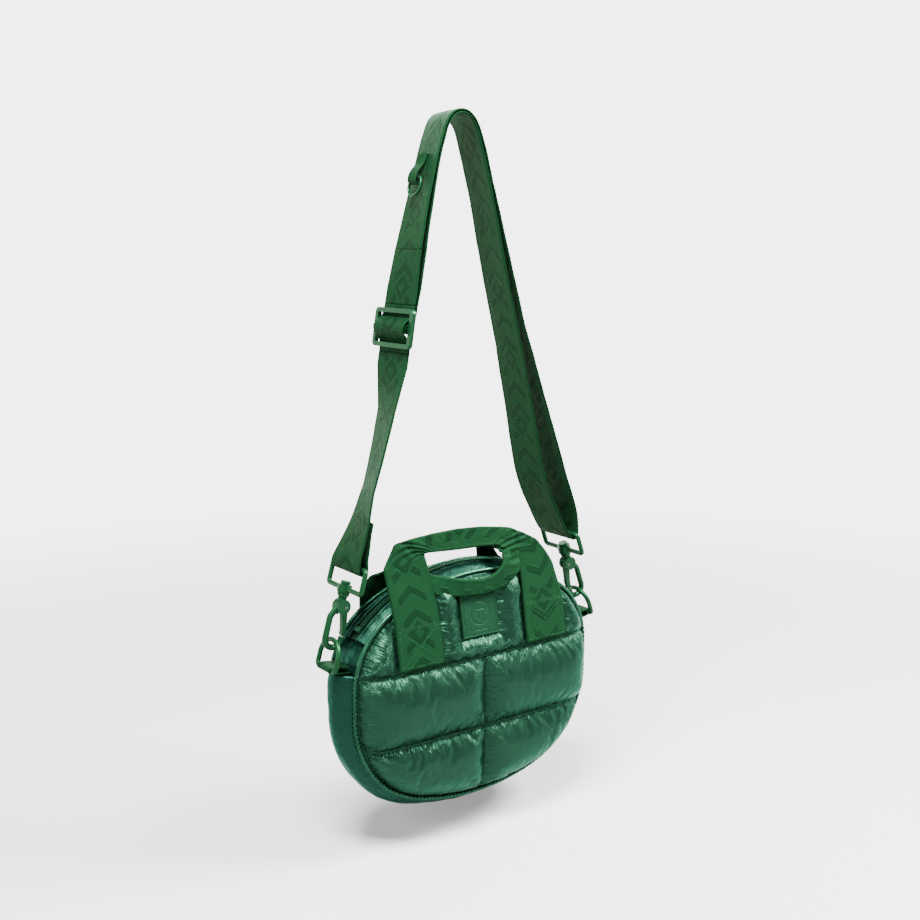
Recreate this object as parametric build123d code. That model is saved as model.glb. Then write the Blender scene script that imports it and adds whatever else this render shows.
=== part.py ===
from build123d import *
import math
import os

# A small quilted bag that hangs by its webbing shoulder strap.
# Everything is drawn in the bag's own frame, in millimetres: x across the bag, -y to its front, z up.
# save() then moves each piece so that the origin is where the strap hangs over its peg.

# ---- where the strap hangs, seen from the bag
HANG_X = -10.0

# ---- outline of the front and back panels: top, shoulder, corner and bottom arcs, all tangent
HALF_WIDTH = 101.5
SEAM_TOP_Z = 170.0
HANG_Z = SEAM_TOP_Z + 320.0
SEAM_BOTTOM_Z = 6.0
TOP_RADIUS = 146.0
SHOULDER_RADIUS = 57.0
CORNER_RADIUS = 71.0
BOTTOM_RADIUS = 177.0
SEAM_Y = 16.0                # from the bag's middle to the seam plane of each panel

# ---- padded panels: (distance in from the edge, height above the seam plane)
PANEL_STEPS = ((0, 0), (4, 5), (12, 10), (28, 14))
SKIN = 1.2                   # outer fabric
FILL_GAP = 0.25              # around each cell of filling
QUILT_UPPER_Z = SEAM_TOP_Z - 59.0
QUILT_LOWER_Z = (QUILT_UPPER_Z + SEAM_BOTTOM_Z) / 2 - 0.5
QUILT_WIDTH = 2.4
QUILT_DEPTH = 2.0
BAND_Y = 28.0                # the upper band leans back from here
BAND_Z = QUILT_UPPER_Z + 2.0
BAND_LEAN = 10.8

# ---- gusset, piping, lining
BOOT_STEPS = ((14.2, 0.3), (11.0, 7.0), (5.0, 10.5), (0.0, 11.0))   # (y, bulge beyond the outline)
GUSSET_HALF = 14.2
GUSSET_WALL = 4.5
BOOT_TOP_Z = QUILT_UPPER_Z + 1.8
END_PANEL_TOP_Z = BOOT_TOP_Z + 14.2
JOIN_GAP = 0.4
PIPING_RADIUS = 1.5
PIPING_OFFSET = 1.9
LINING_INSET = 7.5
LINING_WALL = 0.9
LINING_GAP = 0.4

# ---- zip, on one circle about an axis along y
ZIP_RADIUS = 131.0
ZIP_CREST_Z = SEAM_TOP_Z + 8.1
STRIP_HALF_ANGLE = math.degrees(math.asin((HALF_WIDTH - 5.7) / ZIP_RADIUS))
CHAIN_HALF_ANGLE = STRIP_HALF_ANGLE - 4.0
STRIP_INNER_Y = 5.5
STRIP_DROP = 1.0
STRIP_SLOPE = 0.637
STRIP_THICK = 1.6
TAPE_THICK = 0.7
TAPE_OUTER_Y = 11.5
COIL_HALF = 2.5
COIL_GAP = 0.4
COIL_THICK = 2.1
ZIP_GAP = 0.2
SLIDER_ANGLE = CHAIN_HALF_ANGLE - 5.0
SLIDER_HALF_ANGLE = 3.4
PULL_LENGTH = 16.0
PULL_ARM = 5.8               # clears the slider's bridge as the pull lifts
PULL_HALF_WIDTH = 2.7

# ---- side rings and snap hooks, drawn upright on the ring's straight bar, then leaned
BAR_X = HALF_WIDTH + 14.5
BAR_Z = BOOT_TOP_Z + 5.7
LEFT_TILT = 16.0
RIGHT_TILT = 20.0
RING_WIRE = 1.8
RING_HALF = 12.0
RING_STRAIGHT = 8.0
RING_CORNER = 2.5
RING_PLAY = 1.5
HOOK_WIRE = 2.2
HOOK_HALF = 6.3
NOSE_TOP = 22.8
HEAD_Z = 43.5
HEAD_RADIUS = 5.2
HEAD_THICK = 8.0
GATE_PIVOT_X = 2.6
GATE_THICK = 3.4
GATE_END_RADIUS = 2.6
PIN_RADIUS = 1.08
PIN_PLAY = 0.06
SLOT_PLAY = 0.2
POST_RADIUS = 2.0
POST_PLAY = 0.1
EYE_BOTTOM_Z = 56.0
EYE_TOP_Z = 72.0
EYE_WIRE = 1.8
BOSS_RADIUS = 5.0
BOSS_HALF = 2.6
KNOB_RADIUS = 3.4
TAB_HALF = 8.5
TAB_THICK = 1.4

# ---- webbing
WEB_WIDTH = 38.0
WEB_THICK = 1.6
WEB_PLAY = 0.5
TAIL_GAP = 0.3

# ---- adjuster on the left limb of the strap
ADJUSTER_X = -58.5           # before spread() moves it with its limb
ADJUSTER_Z = 348.0
ADJUSTER_TILT = 9.0
ADJUSTER_HALF_HEIGHT = 13.4
ADJUSTER_BAR = 3.2
ADJUSTER_THICK = 3.0
ADJUSTER_RAIL = 3.5
CENTRE_BAR_RADIUS = 1.6
FOLD_REACH = 16.0

# ---- key ring on its tab
KEY_X = -34.0
KEY_Z = 450.0
KEY_TILT = 15.0
KEY_TAB_WIDTH = 10.0
KEY_TAB_THICK = 1.2
KEY_TAB_REACH = 2.7          # half the width of the tab's loop
KEY_TAB_DROP = 4.5           # from the ring's wire down to the bottom of the loop
KEY_RING_RADIUS = 7.0
KEY_RING_WIRE = 1.0
KEY_TAB_W = 4.5              # the ring's wire, out from the middle of the strap
KEY_TAB_U = -1.5

# ---- carrying handles
LEG_X = HALF_WIDTH - 45.5
BASE_LOW = 1.0
BASE_HIGH = 31.0
LEG_START = 33.2
GRIP_LOW = 80.5
GRIP_HIGH = 96.5
GRIP_THICK = 4.0
HANDLE_THICK = 1.8
SEWN_GAP = 0.35
REAR_GAP = 0.9
REAR_STRIP_INNER = 15.0
REAR_STRIP_WIDTH = 20.0
REAR_BEND_Z = ZIP_CREST_Z - 5.5          # where the rear legs fold over the zip
REAR_BEND = (REAR_BEND_Z + 1.3 - BAND_Z) / math.cos(math.radians(BAND_LEAN))
PATCH_SIZE = 32.0
PATCH_THICK = 1.6
PATCH_X = -3.0
PATCH_MID = 29.5


def save(node, shape):
    """Write one node, moved so that the hanging point is the origin."""
    export_step(Pos(-HANG_X, 0, -HANG_Z) * shape, f"parts/{node}.step")


def at_y(y):
    """The plane across the bag at y, whose own axes are x and z."""
    return Plane.XZ.offset(-y)


def back(shape):
    """The same piece on the back of the bag."""
    return mirror(shape, about=Plane.XZ)


# ---------------------------------------------------------------- panel outline

def tangent_centres():
    """Heights of the shoulder and corner arc centres, and the angles where the arcs meet."""
    top_z = SEAM_TOP_Z - TOP_RADIUS
    bottom_z = SEAM_BOTTOM_Z + BOTTOM_RADIUS
    shoulder_x = HALF_WIDTH - SHOULDER_RADIUS
    corner_x = HALF_WIDTH - CORNER_RADIUS
    shoulder_z = top_z + math.sqrt((TOP_RADIUS - SHOULDER_RADIUS) ** 2 - shoulder_x ** 2)
    corner_z = bottom_z - math.sqrt((BOTTOM_RADIUS - CORNER_RADIUS) ** 2 - corner_x ** 2)
    top_angle = math.atan2(shoulder_x, shoulder_z - top_z)
    bottom_angle = math.atan2(corner_x, bottom_z - corner_z)
    return top_z, bottom_z, shoulder_z, corner_z, top_angle, bottom_angle


def outline_edges(offset):
    """The closed panel outline in (x, z), grown by offset."""
    top_z, bottom_z, shoulder_z, corner_z, top_angle, bottom_angle = tangent_centres()
    shoulder_x = HALF_WIDTH - SHOULDER_RADIUS
    corner_x = HALF_WIDTH - CORNER_RADIUS
    half = HALF_WIDTH + offset

    def on(cx, cz, radius, angle, sign):
        return (cx + radius * math.sin(angle), cz + sign * radius * math.cos(angle))

    top = on(0, top_z, TOP_RADIUS + offset, top_angle, 1)
    bottom = on(0, bottom_z, BOTTOM_RADIUS + offset, bottom_angle, -1)
    mid_shoulder = on(shoulder_x, shoulder_z, SHOULDER_RADIUS + offset, (top_angle + math.pi / 2) / 2, 1)
    mid_corner = on(corner_x, corner_z, CORNER_RADIUS + offset, (bottom_angle + math.pi / 2) / 2, -1)

    def flip(point):
        return (-point[0], point[1])

    right = [ThreePointArc(top, mid_shoulder, (half, shoulder_z)),
             Line((half, shoulder_z), (half, corner_z)),
             ThreePointArc((half, corner_z), mid_corner, bottom)]
    low = [ThreePointArc(bottom, (0, SEAM_BOTTOM_Z - offset), flip(bottom))]
    left = [ThreePointArc(flip(bottom), flip(mid_corner), (-half, corner_z)),
            Line((-half, corner_z), (-half, shoulder_z)),
            ThreePointArc((-half, shoulder_z), flip(mid_shoulder), flip(top))]
    high = [ThreePointArc(flip(top), (0, SEAM_TOP_Z + offset), top)]
    return right + low + left + high


def outline_face(offset, y):
    return at_y(y) * make_face(outline_edges(offset))


def outline_block(offset, half_depth):
    """A slab of the outline, centred on the bag's middle."""
    return extrude(outline_face(offset, half_depth), amount=2 * half_depth, dir=(0, -1, 0))


def stack(sections):
    """One solid through (offset, y) sections of the outline."""
    return loft([outline_face(offset, y) for offset, y in sections], ruled=True)


def slab(x_low, x_high, y_low, y_high, z_low, z_high):
    centre = ((x_low + x_high) / 2, (y_low + y_high) / 2, (z_low + z_high) / 2)
    return Pos(*centre) * Box(x_high - x_low, y_high - y_low, z_high - z_low)


def above(z):
    return slab(-200, 200, -100, 100, z, 300)


def below(z):
    return slab(-200, 200, -100, 100, -100, z)


# ---------------------------------------------------------------- padded panels

def band_plane(out=0.0):
    """The plane of the upper band, moved out from it. Its own axes are x and up the band."""
    lean = math.radians(BAND_LEAN)
    normal = (0, -math.cos(lean), math.sin(lean))
    origin = (0, -BAND_Y + out * normal[1], BAND_Z + out * normal[2])
    return Plane(origin=origin, x_dir=(1, 0, 0), z_dir=normal)


def panel_block(inset):
    """The padded panel, or the space inside its skin when inset is more than 0."""
    sections = []
    for step, (inward, height) in enumerate(PANEL_STEPS):
        side = 1.6 * inset if step == 0 else inset
        rise = inset if step == 0 else -inset
        sections.append((-(inward + side), -(SEAM_Y + height + rise)))
    front_of_band = band_plane(-inset) * Box(400, 400, 60, align=(Align.CENTER, Align.CENTER, Align.MIN))
    return stack(sections) - front_of_band


def quilt_walls(width):
    """The slices that the quilting seams take out of the panel."""
    deep = (-60, 0)
    across = [slab(-200, 200, *deep, z - width / 2, z + width / 2) for z in (QUILT_UPPER_Z, QUILT_LOWER_Z)]
    upright = slab(-width / 2, width / 2, *deep, -50, QUILT_UPPER_Z)
    return across + [upright]


def quilt_grooves():
    """Shallow channels along the quilting seams in the front face."""
    front = -(SEAM_Y + PANEL_STEPS[-1][1])
    shallow = slab(-200, 200, front - 10, front + QUILT_DEPTH, -50, 300)
    return [wall & shallow for wall in quilt_walls(QUILT_WIDTH)]


def panel_skin():
    skin = panel_block(0)
    for cut in quilt_grooves():
        skin -= cut
    cells = panel_block(SKIN)
    for wall in quilt_walls(QUILT_WIDTH + 2 * SKIN):
        cells -= wall
    return skin - cells


def panel_filling():
    filling = panel_block(SKIN + FILL_GAP)
    for wall in quilt_walls(QUILT_WIDTH + 2 * SKIN + 2 * FILL_GAP):
        filling -= wall
    return filling


# ---------------------------------------------------------------- gusset, piping, lining

def lower_gusset():
    half = [(bulge, y) for y, bulge in BOOT_STEPS]
    sections = [(bulge, -y) for bulge, y in half] + [(bulge, y) for bulge, y in reversed(half[:-1])]
    ring = stack(sections) - outline_block(-GUSSET_WALL, 2 * GUSSET_HALF)
    return ring & below(BOOT_TOP_Z)


def gusset_ends():
    """The two side pieces between the lower gusset and the ends of the zip."""
    ring = outline_block(0, GUSSET_HALF) - outline_block(-GUSSET_WALL, 2 * GUSSET_HALF)
    return ring & slab(-200, 200, -50, 50, BOOT_TOP_Z + JOIN_GAP, END_PANEL_TOP_Z)


def seam_cord(low):
    """The cord in the front seam, above or below the join with the lower gusset."""
    wire = at_y(-SEAM_Y) * Wire(outline_edges(PIPING_OFFSET))
    start = Plane(origin=wire @ 0, z_dir=wire % 0)
    cord = sweep(start * Circle(PIPING_RADIUS), path=wire)
    return cord & (below(BOOT_TOP_Z) if low else above(BOOT_TOP_Z + JOIN_GAP))


def lining():
    depth = SEAM_Y - LINING_GAP
    bag = outline_block(-LINING_INSET, depth)
    inside = outline_block(-LINING_INSET - LINING_WALL, depth - LINING_WALL)
    mouth = slab(-85, 85, -STRIP_INNER_Y, STRIP_INNER_Y, 100, 300)
    return bag - inside - mouth


# ---------------------------------------------------------------- zip

ZIP_AXIS = Axis((0, 0, ZIP_CREST_Z - ZIP_RADIUS), (0, 1, 0))


def zip_ring(profile, low_angle, high_angle):
    """A (y, depth below the crest) profile run round the zip's circle, angles from the top towards +x."""
    points = [(y, ZIP_CREST_Z - depth) for y, depth in profile]
    face = Plane.YZ * make_face(Polyline(*points, close=True))
    return revolve(face.rotate(ZIP_AXIS, low_angle), axis=ZIP_AXIS, revolution_arc=high_angle - low_angle)


def rectangle(y_low, y_high, depth_low, depth_high):
    return [(y_low, depth_low), (y_high, depth_low), (y_high, depth_high), (y_low, depth_high)]


def strip_depth(y):
    return STRIP_DROP + STRIP_SLOPE * (y - STRIP_INNER_Y)


def zip_strip():
    """The fabric strip between the front seam and the zip."""
    outer = GUSSET_HALF
    profile = [(-STRIP_INNER_Y, strip_depth(STRIP_INNER_Y)), (-outer, strip_depth(outer)),
               (-outer, strip_depth(outer) + STRIP_THICK),
               (-STRIP_INNER_Y, strip_depth(STRIP_INNER_Y) + STRIP_THICK)]
    return zip_ring(profile, -STRIP_HALF_ANGLE, STRIP_HALF_ANGLE)


def zip_tape():
    """The tape lies under the strip and reaches the coil."""
    top = STRIP_DROP + STRIP_THICK + ZIP_GAP
    low = top + STRIP_SLOPE * (TAPE_OUTER_Y - STRIP_INNER_Y)
    profile = [(-COIL_GAP, top), (-STRIP_INNER_Y, top), (-TAPE_OUTER_Y, low),
               (-TAPE_OUTER_Y, low + TAPE_THICK), (-STRIP_INNER_Y, top + TAPE_THICK),
               (-COIL_GAP, top + TAPE_THICK)]
    return zip_ring(profile, -STRIP_HALF_ANGLE, STRIP_HALF_ANGLE)


TAPE_TOP = STRIP_DROP + STRIP_THICK + ZIP_GAP
COIL_TOP = TAPE_TOP - ZIP_GAP - COIL_THICK


def zip_coil():
    profile = rectangle(-COIL_HALF, -COIL_GAP, COIL_TOP, COIL_TOP + COIL_THICK)
    return zip_ring(profile, -CHAIN_HALF_ANGLE, CHAIN_HALF_ANGLE)


def zip_stops():
    profile = rectangle(-COIL_HALF - 0.5, COIL_HALF + 0.5, COIL_TOP - 0.6, COIL_TOP + COIL_THICK)
    first = CHAIN_HALF_ANGLE + 0.2
    last = CHAIN_HALF_ANGLE + 1.6
    return [zip_ring(profile, first, last), zip_ring(profile, -last, -first)]


def zip_slider():
    """Upper plate with side flanges, a thin neck between the coils, a lower plate, and the bridge."""
    low, high = SLIDER_ANGLE - SLIDER_HALF_ANGLE, SLIDER_ANGLE + SLIDER_HALF_ANGLE
    flange_inner = COIL_HALF + ZIP_GAP
    flange_outer = flange_inner + 1.2
    plate_low = COIL_TOP - ZIP_GAP
    plate_high = plate_low - 1.5
    under = TAPE_TOP + TAPE_THICK + ZIP_GAP
    slider = zip_ring(rectangle(-flange_outer, flange_outer, plate_high, plate_low), low, high)
    for side in (-1, 1):
        y_low, y_high = sorted((side * flange_inner, side * flange_outer))
        slider += zip_ring(rectangle(y_low, y_high, plate_high, TAPE_TOP - ZIP_GAP), low, high)
    slider += zip_ring(rectangle(-0.2, 0.2, plate_high, under + 1.4), low + 1, high - 1)
    slider += zip_ring(rectangle(-COIL_HALF, COIL_HALF, under, under + 1.4), low, high)
    return slider + zip_bridge(plate_high)


def zip_bridge(plate_high):
    half = 1.8
    bridge = zip_ring(rectangle(-1.2, 1.2, plate_high - 3.0, plate_high), SLIDER_ANGLE - half, SLIDER_ANGLE + half)
    inner = half - 0.45
    window = zip_ring(rectangle(-2, 2, plate_high - 1.9, plate_high), SLIDER_ANGLE - inner, SLIDER_ANGLE + inner)
    return bridge - window


def zip_pull():
    """Drawn over the crest, pointing to -x, then turned round the circle to the slider."""
    bar_z = ZIP_CREST_Z - COIL_TOP + ZIP_GAP + 1.5 + 0.95
    bar = Pos(0, 0, bar_z) * Rot(90, 0, 0) * Cylinder(0.6, 2 * PULL_HALF_WIDTH)
    arms = [slab(-PULL_ARM, 0.6, y - 0.55, y + 0.55, bar_z - 0.6, bar_z + 0.6)
            for y in (-PULL_HALF_WIDTH + 0.55, PULL_HALF_WIDTH - 0.55)]
    tab = slab(-PULL_LENGTH, -PULL_ARM, -PULL_HALF_WIDTH, PULL_HALF_WIDTH, bar_z - 0.6, bar_z + 0.6)
    pull = bar + arms + tab
    return pull.rotate(ZIP_AXIS, SLIDER_ANGLE)


# ---------------------------------------------------------------- webbing bands

def corner_radii(points):
    """As large an arc at each corner as its two runs allow."""
    radii = []
    for a, b, c in zip(points, points[1:], points[2:]):
        before, after = Vector(*b) - Vector(*a), Vector(*c) - Vector(*b)
        turn = math.radians(before.get_angle(after))
        radii.append(0.45 * min(before.length, after.length) / math.tan(turn / 2))
    return radii


def band(route, width, thick):
    """A flat band along (x, z) points, its width across the bag's depth."""
    points = [(x, 0, z) for x, z in route]
    path = FilletPolyline(*points, radius=corner_radii(points))
    start = Plane(origin=path @ 0, x_dir=(0, 1, 0), z_dir=path % 0)
    return sweep(start * Rectangle(width, thick), path=path)


def leaned(points, x, z, tilt):
    """(out, up) points beside a strap that leans by tilt, out being away from the bag's middle at -x."""
    angle = math.radians(tilt)
    return [(x - out * math.cos(angle) + up * math.sin(angle),
             z + out * math.sin(angle) + up * math.cos(angle)) for out, up in points]


def spread(points):
    """Move (x, z) points of the strap out with a wider bag, less and less towards the peg."""
    wider = HALF_WIDTH - ROUTE_HALF_WIDTH
    moved = []
    for x, z in points:
        share = min(1.0, max(0.0, (ROUTE_HANG_Z - z) / (ROUTE_HANG_Z - STRAIGHT_BELOW_Z)))
        side = 1 if x > HANG_X else -1
        moved.append((x + side * wider * share, z + HANG_Z - ROUTE_HANG_Z))
    return moved


def adjuster_centre():
    return spread([(ADJUSTER_X, ADJUSTER_Z)])[0]


def adjuster_point(out, up):
    return leaned([(out, up)], *adjuster_centre(), ADJUSTER_TILT)[0]


BEHIND_BAR = -(ADJUSTER_THICK / 2 + 0.3 + WEB_THICK / 2)
RETURN_BEHIND = BEHIND_BAR - WEB_THICK - TAIL_GAP - 0.2
LOOP_RADIUS = CENTRE_BAR_RADIUS + 0.3 + WEB_THICK / 2
FOLD_OUT = LOOP_RADIUS + WEB_THICK + 0.4

ROUTE_HALF_WIDTH = 101.5     # the half width of bag and the height that the strap's routes are drawn for
ROUTE_HANG_Z = 490.0
STRAIGHT_BELOW_Z = 221.0     # the strap's ends below this move as one with their hooks
UPPER_TAIL_END = (-46.6, 399.0)
LOWER_TAIL_END = (-65.2, 292.0)
RETURN_TAIL_END = (-41.9, 400.0)

# The outer layer of the strap: up its left limb, over the peg and round the right eye.
STRAP_ROUTE = [(-46.4, 400.0), (-44.8, 407.0), (-38.4, 432.0), (-33.0, 452.0), (-28.2, 470.0),
               (-19.6, 492.8), (-0.4, 492.8), (9.8, 468.0), (16.9, 441.0), (27.0, 404.0), (37.0, 369.0),
               (47.0, 337.0), (56.8, 309.0), (65.9, 282.0), (74.6, 256.0), (82.6, 232.0), (90.2, 213.0),
               (94.0, 200.0), (94.8, 183.0), (88.4, 183.0), (84.4, 189.5)]

# The inner layer, from the right eye back over the peg to the adjuster.
RETURN_ROUTE = [(84.2, 189.9), (78.0, 200.0), (64.5, 226.0), (56.6, 255.0), (51.2, 283.0), (45.4, 310.0),
                (39.0, 337.0), (30.0, 372.0), (22.6, 405.0), (14.2, 440.0), (7.2, 467.0), (-1.6, 490.8),
                (-18.4, 490.8), (-25.8, 469.0), (-30.6, 451.0), (-35.8, 431.0), (-41.7, 401.0)]

# The single layer below the adjuster: its sewn tail, round the left eye, and up.
LOWER_ROUTE = [(-83.2, 219.0), (-88.6, 203.0), (-93.0, 192.0), (-93.0, 184.2), (-99.4, 184.2),
               (-99.4, 191.0), (-93.0, 204.0), (-86.4, 219.0), (-77.4, 248.0), (-69.2, 276.0),
               (-65.4, 291.0)]


def strap_fold():
    """The webbing that goes behind the end bars and out over the middle bar."""
    bow = [(BEHIND_BAR, -FOLD_REACH), (BEHIND_BAR, -8.4), (2.4, -5.0), (FOLD_OUT, -1.6),
           (FOLD_OUT, 1.6), (2.4, 5.0), (BEHIND_BAR, 8.4), (BEHIND_BAR, FOLD_REACH)]
    return band([adjuster_point(*point) for point in bow], WEB_WIDTH, WEB_THICK)


def return_end():
    """The strap's own end, sewn round the middle bar."""
    loop = LOOP_RADIUS
    points = [(RETURN_BEHIND, FOLD_REACH), (RETURN_BEHIND, 9.0), (-loop, 3.4), (-loop, -loop),
              (loop, -loop), (loop, loop), (-0.6, loop)]
    return band([adjuster_point(*point) for point in points], WEB_WIDTH, WEB_THICK)


def tail(out, up, end):
    """A straight stretch of webbing from beside the adjuster to a given place."""
    start, end = adjuster_point(out, up), spread([end])[0]
    points = [(start[0], 0, start[1]), (end[0], 0, end[1])]
    path = Line(*points)
    plane = Plane(origin=path @ 0, x_dir=(0, 1, 0), z_dir=path % 0)
    return extrude(plane * Rectangle(WEB_WIDTH, WEB_THICK), amount=path.length)


def adjuster_frame():
    """Three bars across two side rails. The plane of the frame is its own x and y."""
    half_inner = WEB_WIDTH / 2 + WEB_PLAY
    half_outer = half_inner + ADJUSTER_RAIL
    height = 2 * ADJUSTER_HALF_HEIGHT
    frame = Box(2 * half_outer, height, ADJUSTER_THICK)
    frame = fillet(frame.edges().filter_by(Axis.Z), radius=ADJUSTER_RAIL)
    frame -= Box(2 * half_inner, height - 2 * ADJUSTER_BAR, 2 * ADJUSTER_THICK)
    frame += Rot(0, 90, 0) * Cylinder(CENTRE_BAR_RADIUS, 2 * half_inner + ADJUSTER_RAIL)
    angle = math.radians(ADJUSTER_TILT)
    x, z = adjuster_centre()
    plane = Plane(origin=(x, 0, z), x_dir=(0, 1, 0),
                  z_dir=(math.cos(angle), 0, -math.sin(angle)))
    return plane * frame


def key_tab():
    inner, outer = KEY_TAB_W - KEY_TAB_REACH, KEY_TAB_W + KEY_TAB_REACH
    low = KEY_TAB_U - KEY_TAB_DROP
    top = 14.0
    doubled = inner + KEY_TAB_THICK + 0.2
    points = [(inner, top), (inner, low), (outer, low), (outer, KEY_TAB_U + 1.5), (doubled, 7.0), (doubled, top)]
    return band(leaned(points, *spread([(KEY_X, KEY_Z)])[0], KEY_TILT), KEY_TAB_WIDTH, KEY_TAB_THICK)


def key_ring():
    place_on_limb = spread([(KEY_X, KEY_Z)])[0]
    centre = leaned([(KEY_TAB_W, KEY_TAB_U - KEY_RING_RADIUS)], *place_on_limb, KEY_TILT)[0]
    ring = Rot(0, 90 + KEY_TILT, 0) * Torus(KEY_RING_RADIUS, KEY_RING_WIRE)
    return Pos(centre[0], 0, centre[1]) * ring


# ---------------------------------------------------------------- rings and hooks

def place(shape, side):
    """Set a piece drawn on the ring's bar, with +x towards the bag, at one side of the bag."""
    if side == "left":
        return Pos(-BAR_X, 0, BAR_Z) * Rot(0, LEFT_TILT, 0) * shape
    return Pos(BAR_X, 0, BAR_Z) * Rot(0, -RIGHT_TILT, 0) * mirror(shape, about=Plane.YZ)


def rod(points, radii, radius):
    path = FilletPolyline(*points, radius=radii)
    return sweep(Plane(origin=path @ 0, z_dir=path % 0) * Circle(radius), path=path)


def side_ring():
    """A D: straight bar, rounded lower corners, straight sides, half-round top."""
    half, corner = RING_HALF, RING_CORNER
    inner = half - corner
    edges = [Line((-inner, 0), (inner, 0)), CenterArc((inner, corner), corner, -90, 90),
             Line((half, corner), (half, RING_STRAIGHT)), CenterArc((0, RING_STRAIGHT), half, 0, 180),
             Line((-half, RING_STRAIGHT), (-half, corner)), CenterArc((-inner, corner), corner, 180, 90)]
    wire = Plane.YZ * Wire(edges)
    start = Plane(origin=wire @ 0, z_dir=wire % 0)
    return sweep(start * Circle(RING_WIRE), path=wire)


BOW_Z = RING_STRAIGHT + RING_HALF - RING_WIRE - RING_PLAY - HOOK_WIRE


def hook_body():
    points = [(HOOK_HALF, 0, NOSE_TOP), (HOOK_HALF, 0, BOW_Z), (-HOOK_HALF, 0, BOW_Z),
              (-HOOK_HALF, 0, HEAD_Z - 8), (-2.6, 0, HEAD_Z - 1)]
    bend = HOOK_HALF - 0.1
    hook = rod(points, [bend, bend, 5.0], HOOK_WIRE)
    hook += Pos(0.8, 0, HEAD_Z) * Rot(90, 0, 0) * Cylinder(HEAD_RADIUS, HEAD_THICK)
    slot_half = GATE_THICK / 2 + SLOT_PLAY
    hook -= slab(-1.8, 12, -slot_half, slot_half, HEAD_Z - 8, HEAD_Z + GATE_END_RADIUS + 0.7)
    hook -= Pos(GATE_PIVOT_X, 0, HEAD_Z) * Rot(90, 0, 0) * Cylinder(PIN_RADIUS + PIN_PLAY / 2, 2 * HEAD_THICK)
    boss_low = EYE_BOTTOM_Z - BOSS_HALF
    boss_high = EYE_BOTTOM_Z + BOSS_HALF
    hook += upright(3.2, HEAD_Z + 3.8, boss_low - 2)
    hook += upright(4.2, boss_low - 2.4, boss_low - 0.3)
    hook += upright(POST_RADIUS, boss_low - 1, boss_high + 1)
    hook += upright(KNOB_RADIUS, boss_high + 0.3, boss_high + 2.6)
    return hook


def upright(radius, low, high):
    return Pos(0, 0, (low + high) / 2) * Cylinder(radius, high - low)


def hook_eye():
    """Rectangular eye with the swivel's boss in its lower bar."""
    half = WEB_WIDTH / 2 + WEB_PLAY + EYE_WIRE
    height = EYE_TOP_Z - EYE_BOTTOM_Z
    frame = Plane.YZ * (Pos(0, EYE_BOTTOM_Z + height / 2) * RectangleRounded(2 * half, height, 2.2))
    wire = frame.wire()
    eye = sweep(Plane(origin=wire @ 0, z_dir=wire % 0) * Circle(EYE_WIRE), path=wire)
    eye += upright(BOSS_RADIUS, EYE_BOTTOM_Z - BOSS_HALF, EYE_BOTTOM_Z + BOSS_HALF)
    return eye - upright(POST_RADIUS + POST_PLAY, EYE_BOTTOM_Z - 5, EYE_BOTTOM_Z + 5)


def hook_gate():
    low = NOSE_TOP + 1.2
    outline = Polyline((0.2, HEAD_Z), (GATE_PIVOT_X + GATE_END_RADIUS, HEAD_Z), (8.0, 28.0), (8.0, low),
                       (4.7, low), (4.4, 28.0), close=True)
    half = GATE_THICK / 2
    gate = extrude(at_y(half) * make_face(outline), amount=GATE_THICK, dir=(0, -1, 0))
    gate += Pos(GATE_PIVOT_X, 0, HEAD_Z) * Rot(90, 0, 0) * Cylinder(GATE_END_RADIUS, GATE_THICK)
    return gate - Pos(GATE_PIVOT_X, 0, HEAD_Z) * Rot(90, 0, 0) * Cylinder(PIN_RADIUS + PIN_PLAY, 2 * GATE_THICK)


def gate_pin():
    return Pos(GATE_PIVOT_X, 0, HEAD_Z) * Rot(90, 0, 0) * Cylinder(PIN_RADIUS, HEAD_THICK)


def gate_spring():
    """A leaf against the head, behind the gate."""
    return slab(-1.75, -1.3, -1.5, 1.5, HEAD_Z - 6, HEAD_Z + 2.5)


def side_tab(side):
    """A loop of narrow webbing round the ring's bar."""
    reach = RING_WIRE + 0.9
    points = [(HALF_WIDTH + 1.3, BOOT_TOP_Z + 1.3), (BAR_X + reach, BAR_Z - reach - 0.1),
              (BAR_X + reach, BAR_Z + reach + 1.1), (HALF_WIDTH + 1.7, BOOT_TOP_Z + 4.8)]
    tab = band(points, 2 * TAB_HALF, TAB_THICK)
    return tab if side == "right" else mirror(tab, about=Plane.YZ)


# ---------------------------------------------------------------- carrying handles

def on_band(x, up, out, width, height, thick):
    """A plate lying on the upper band of the front panel."""
    return band_plane(out + thick / 2) * (Pos(x, up) * Box(width, height, thick))


def handle_base(x):
    middle = (BASE_LOW + BASE_HIGH) / 2
    return on_band(x, middle, SEWN_GAP, WEB_WIDTH, BASE_HIGH - BASE_LOW, HANDLE_THICK)


def leather_patch():
    return on_band(PATCH_X, PATCH_MID, SEWN_GAP, PATCH_SIZE, PATCH_SIZE, PATCH_THICK)


def plate(outline, out, thick):
    face = band_plane(out) * make_face(Polyline(*outline, close=True))
    return extrude(face, amount=thick, dir=band_plane().z_dir)


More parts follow.
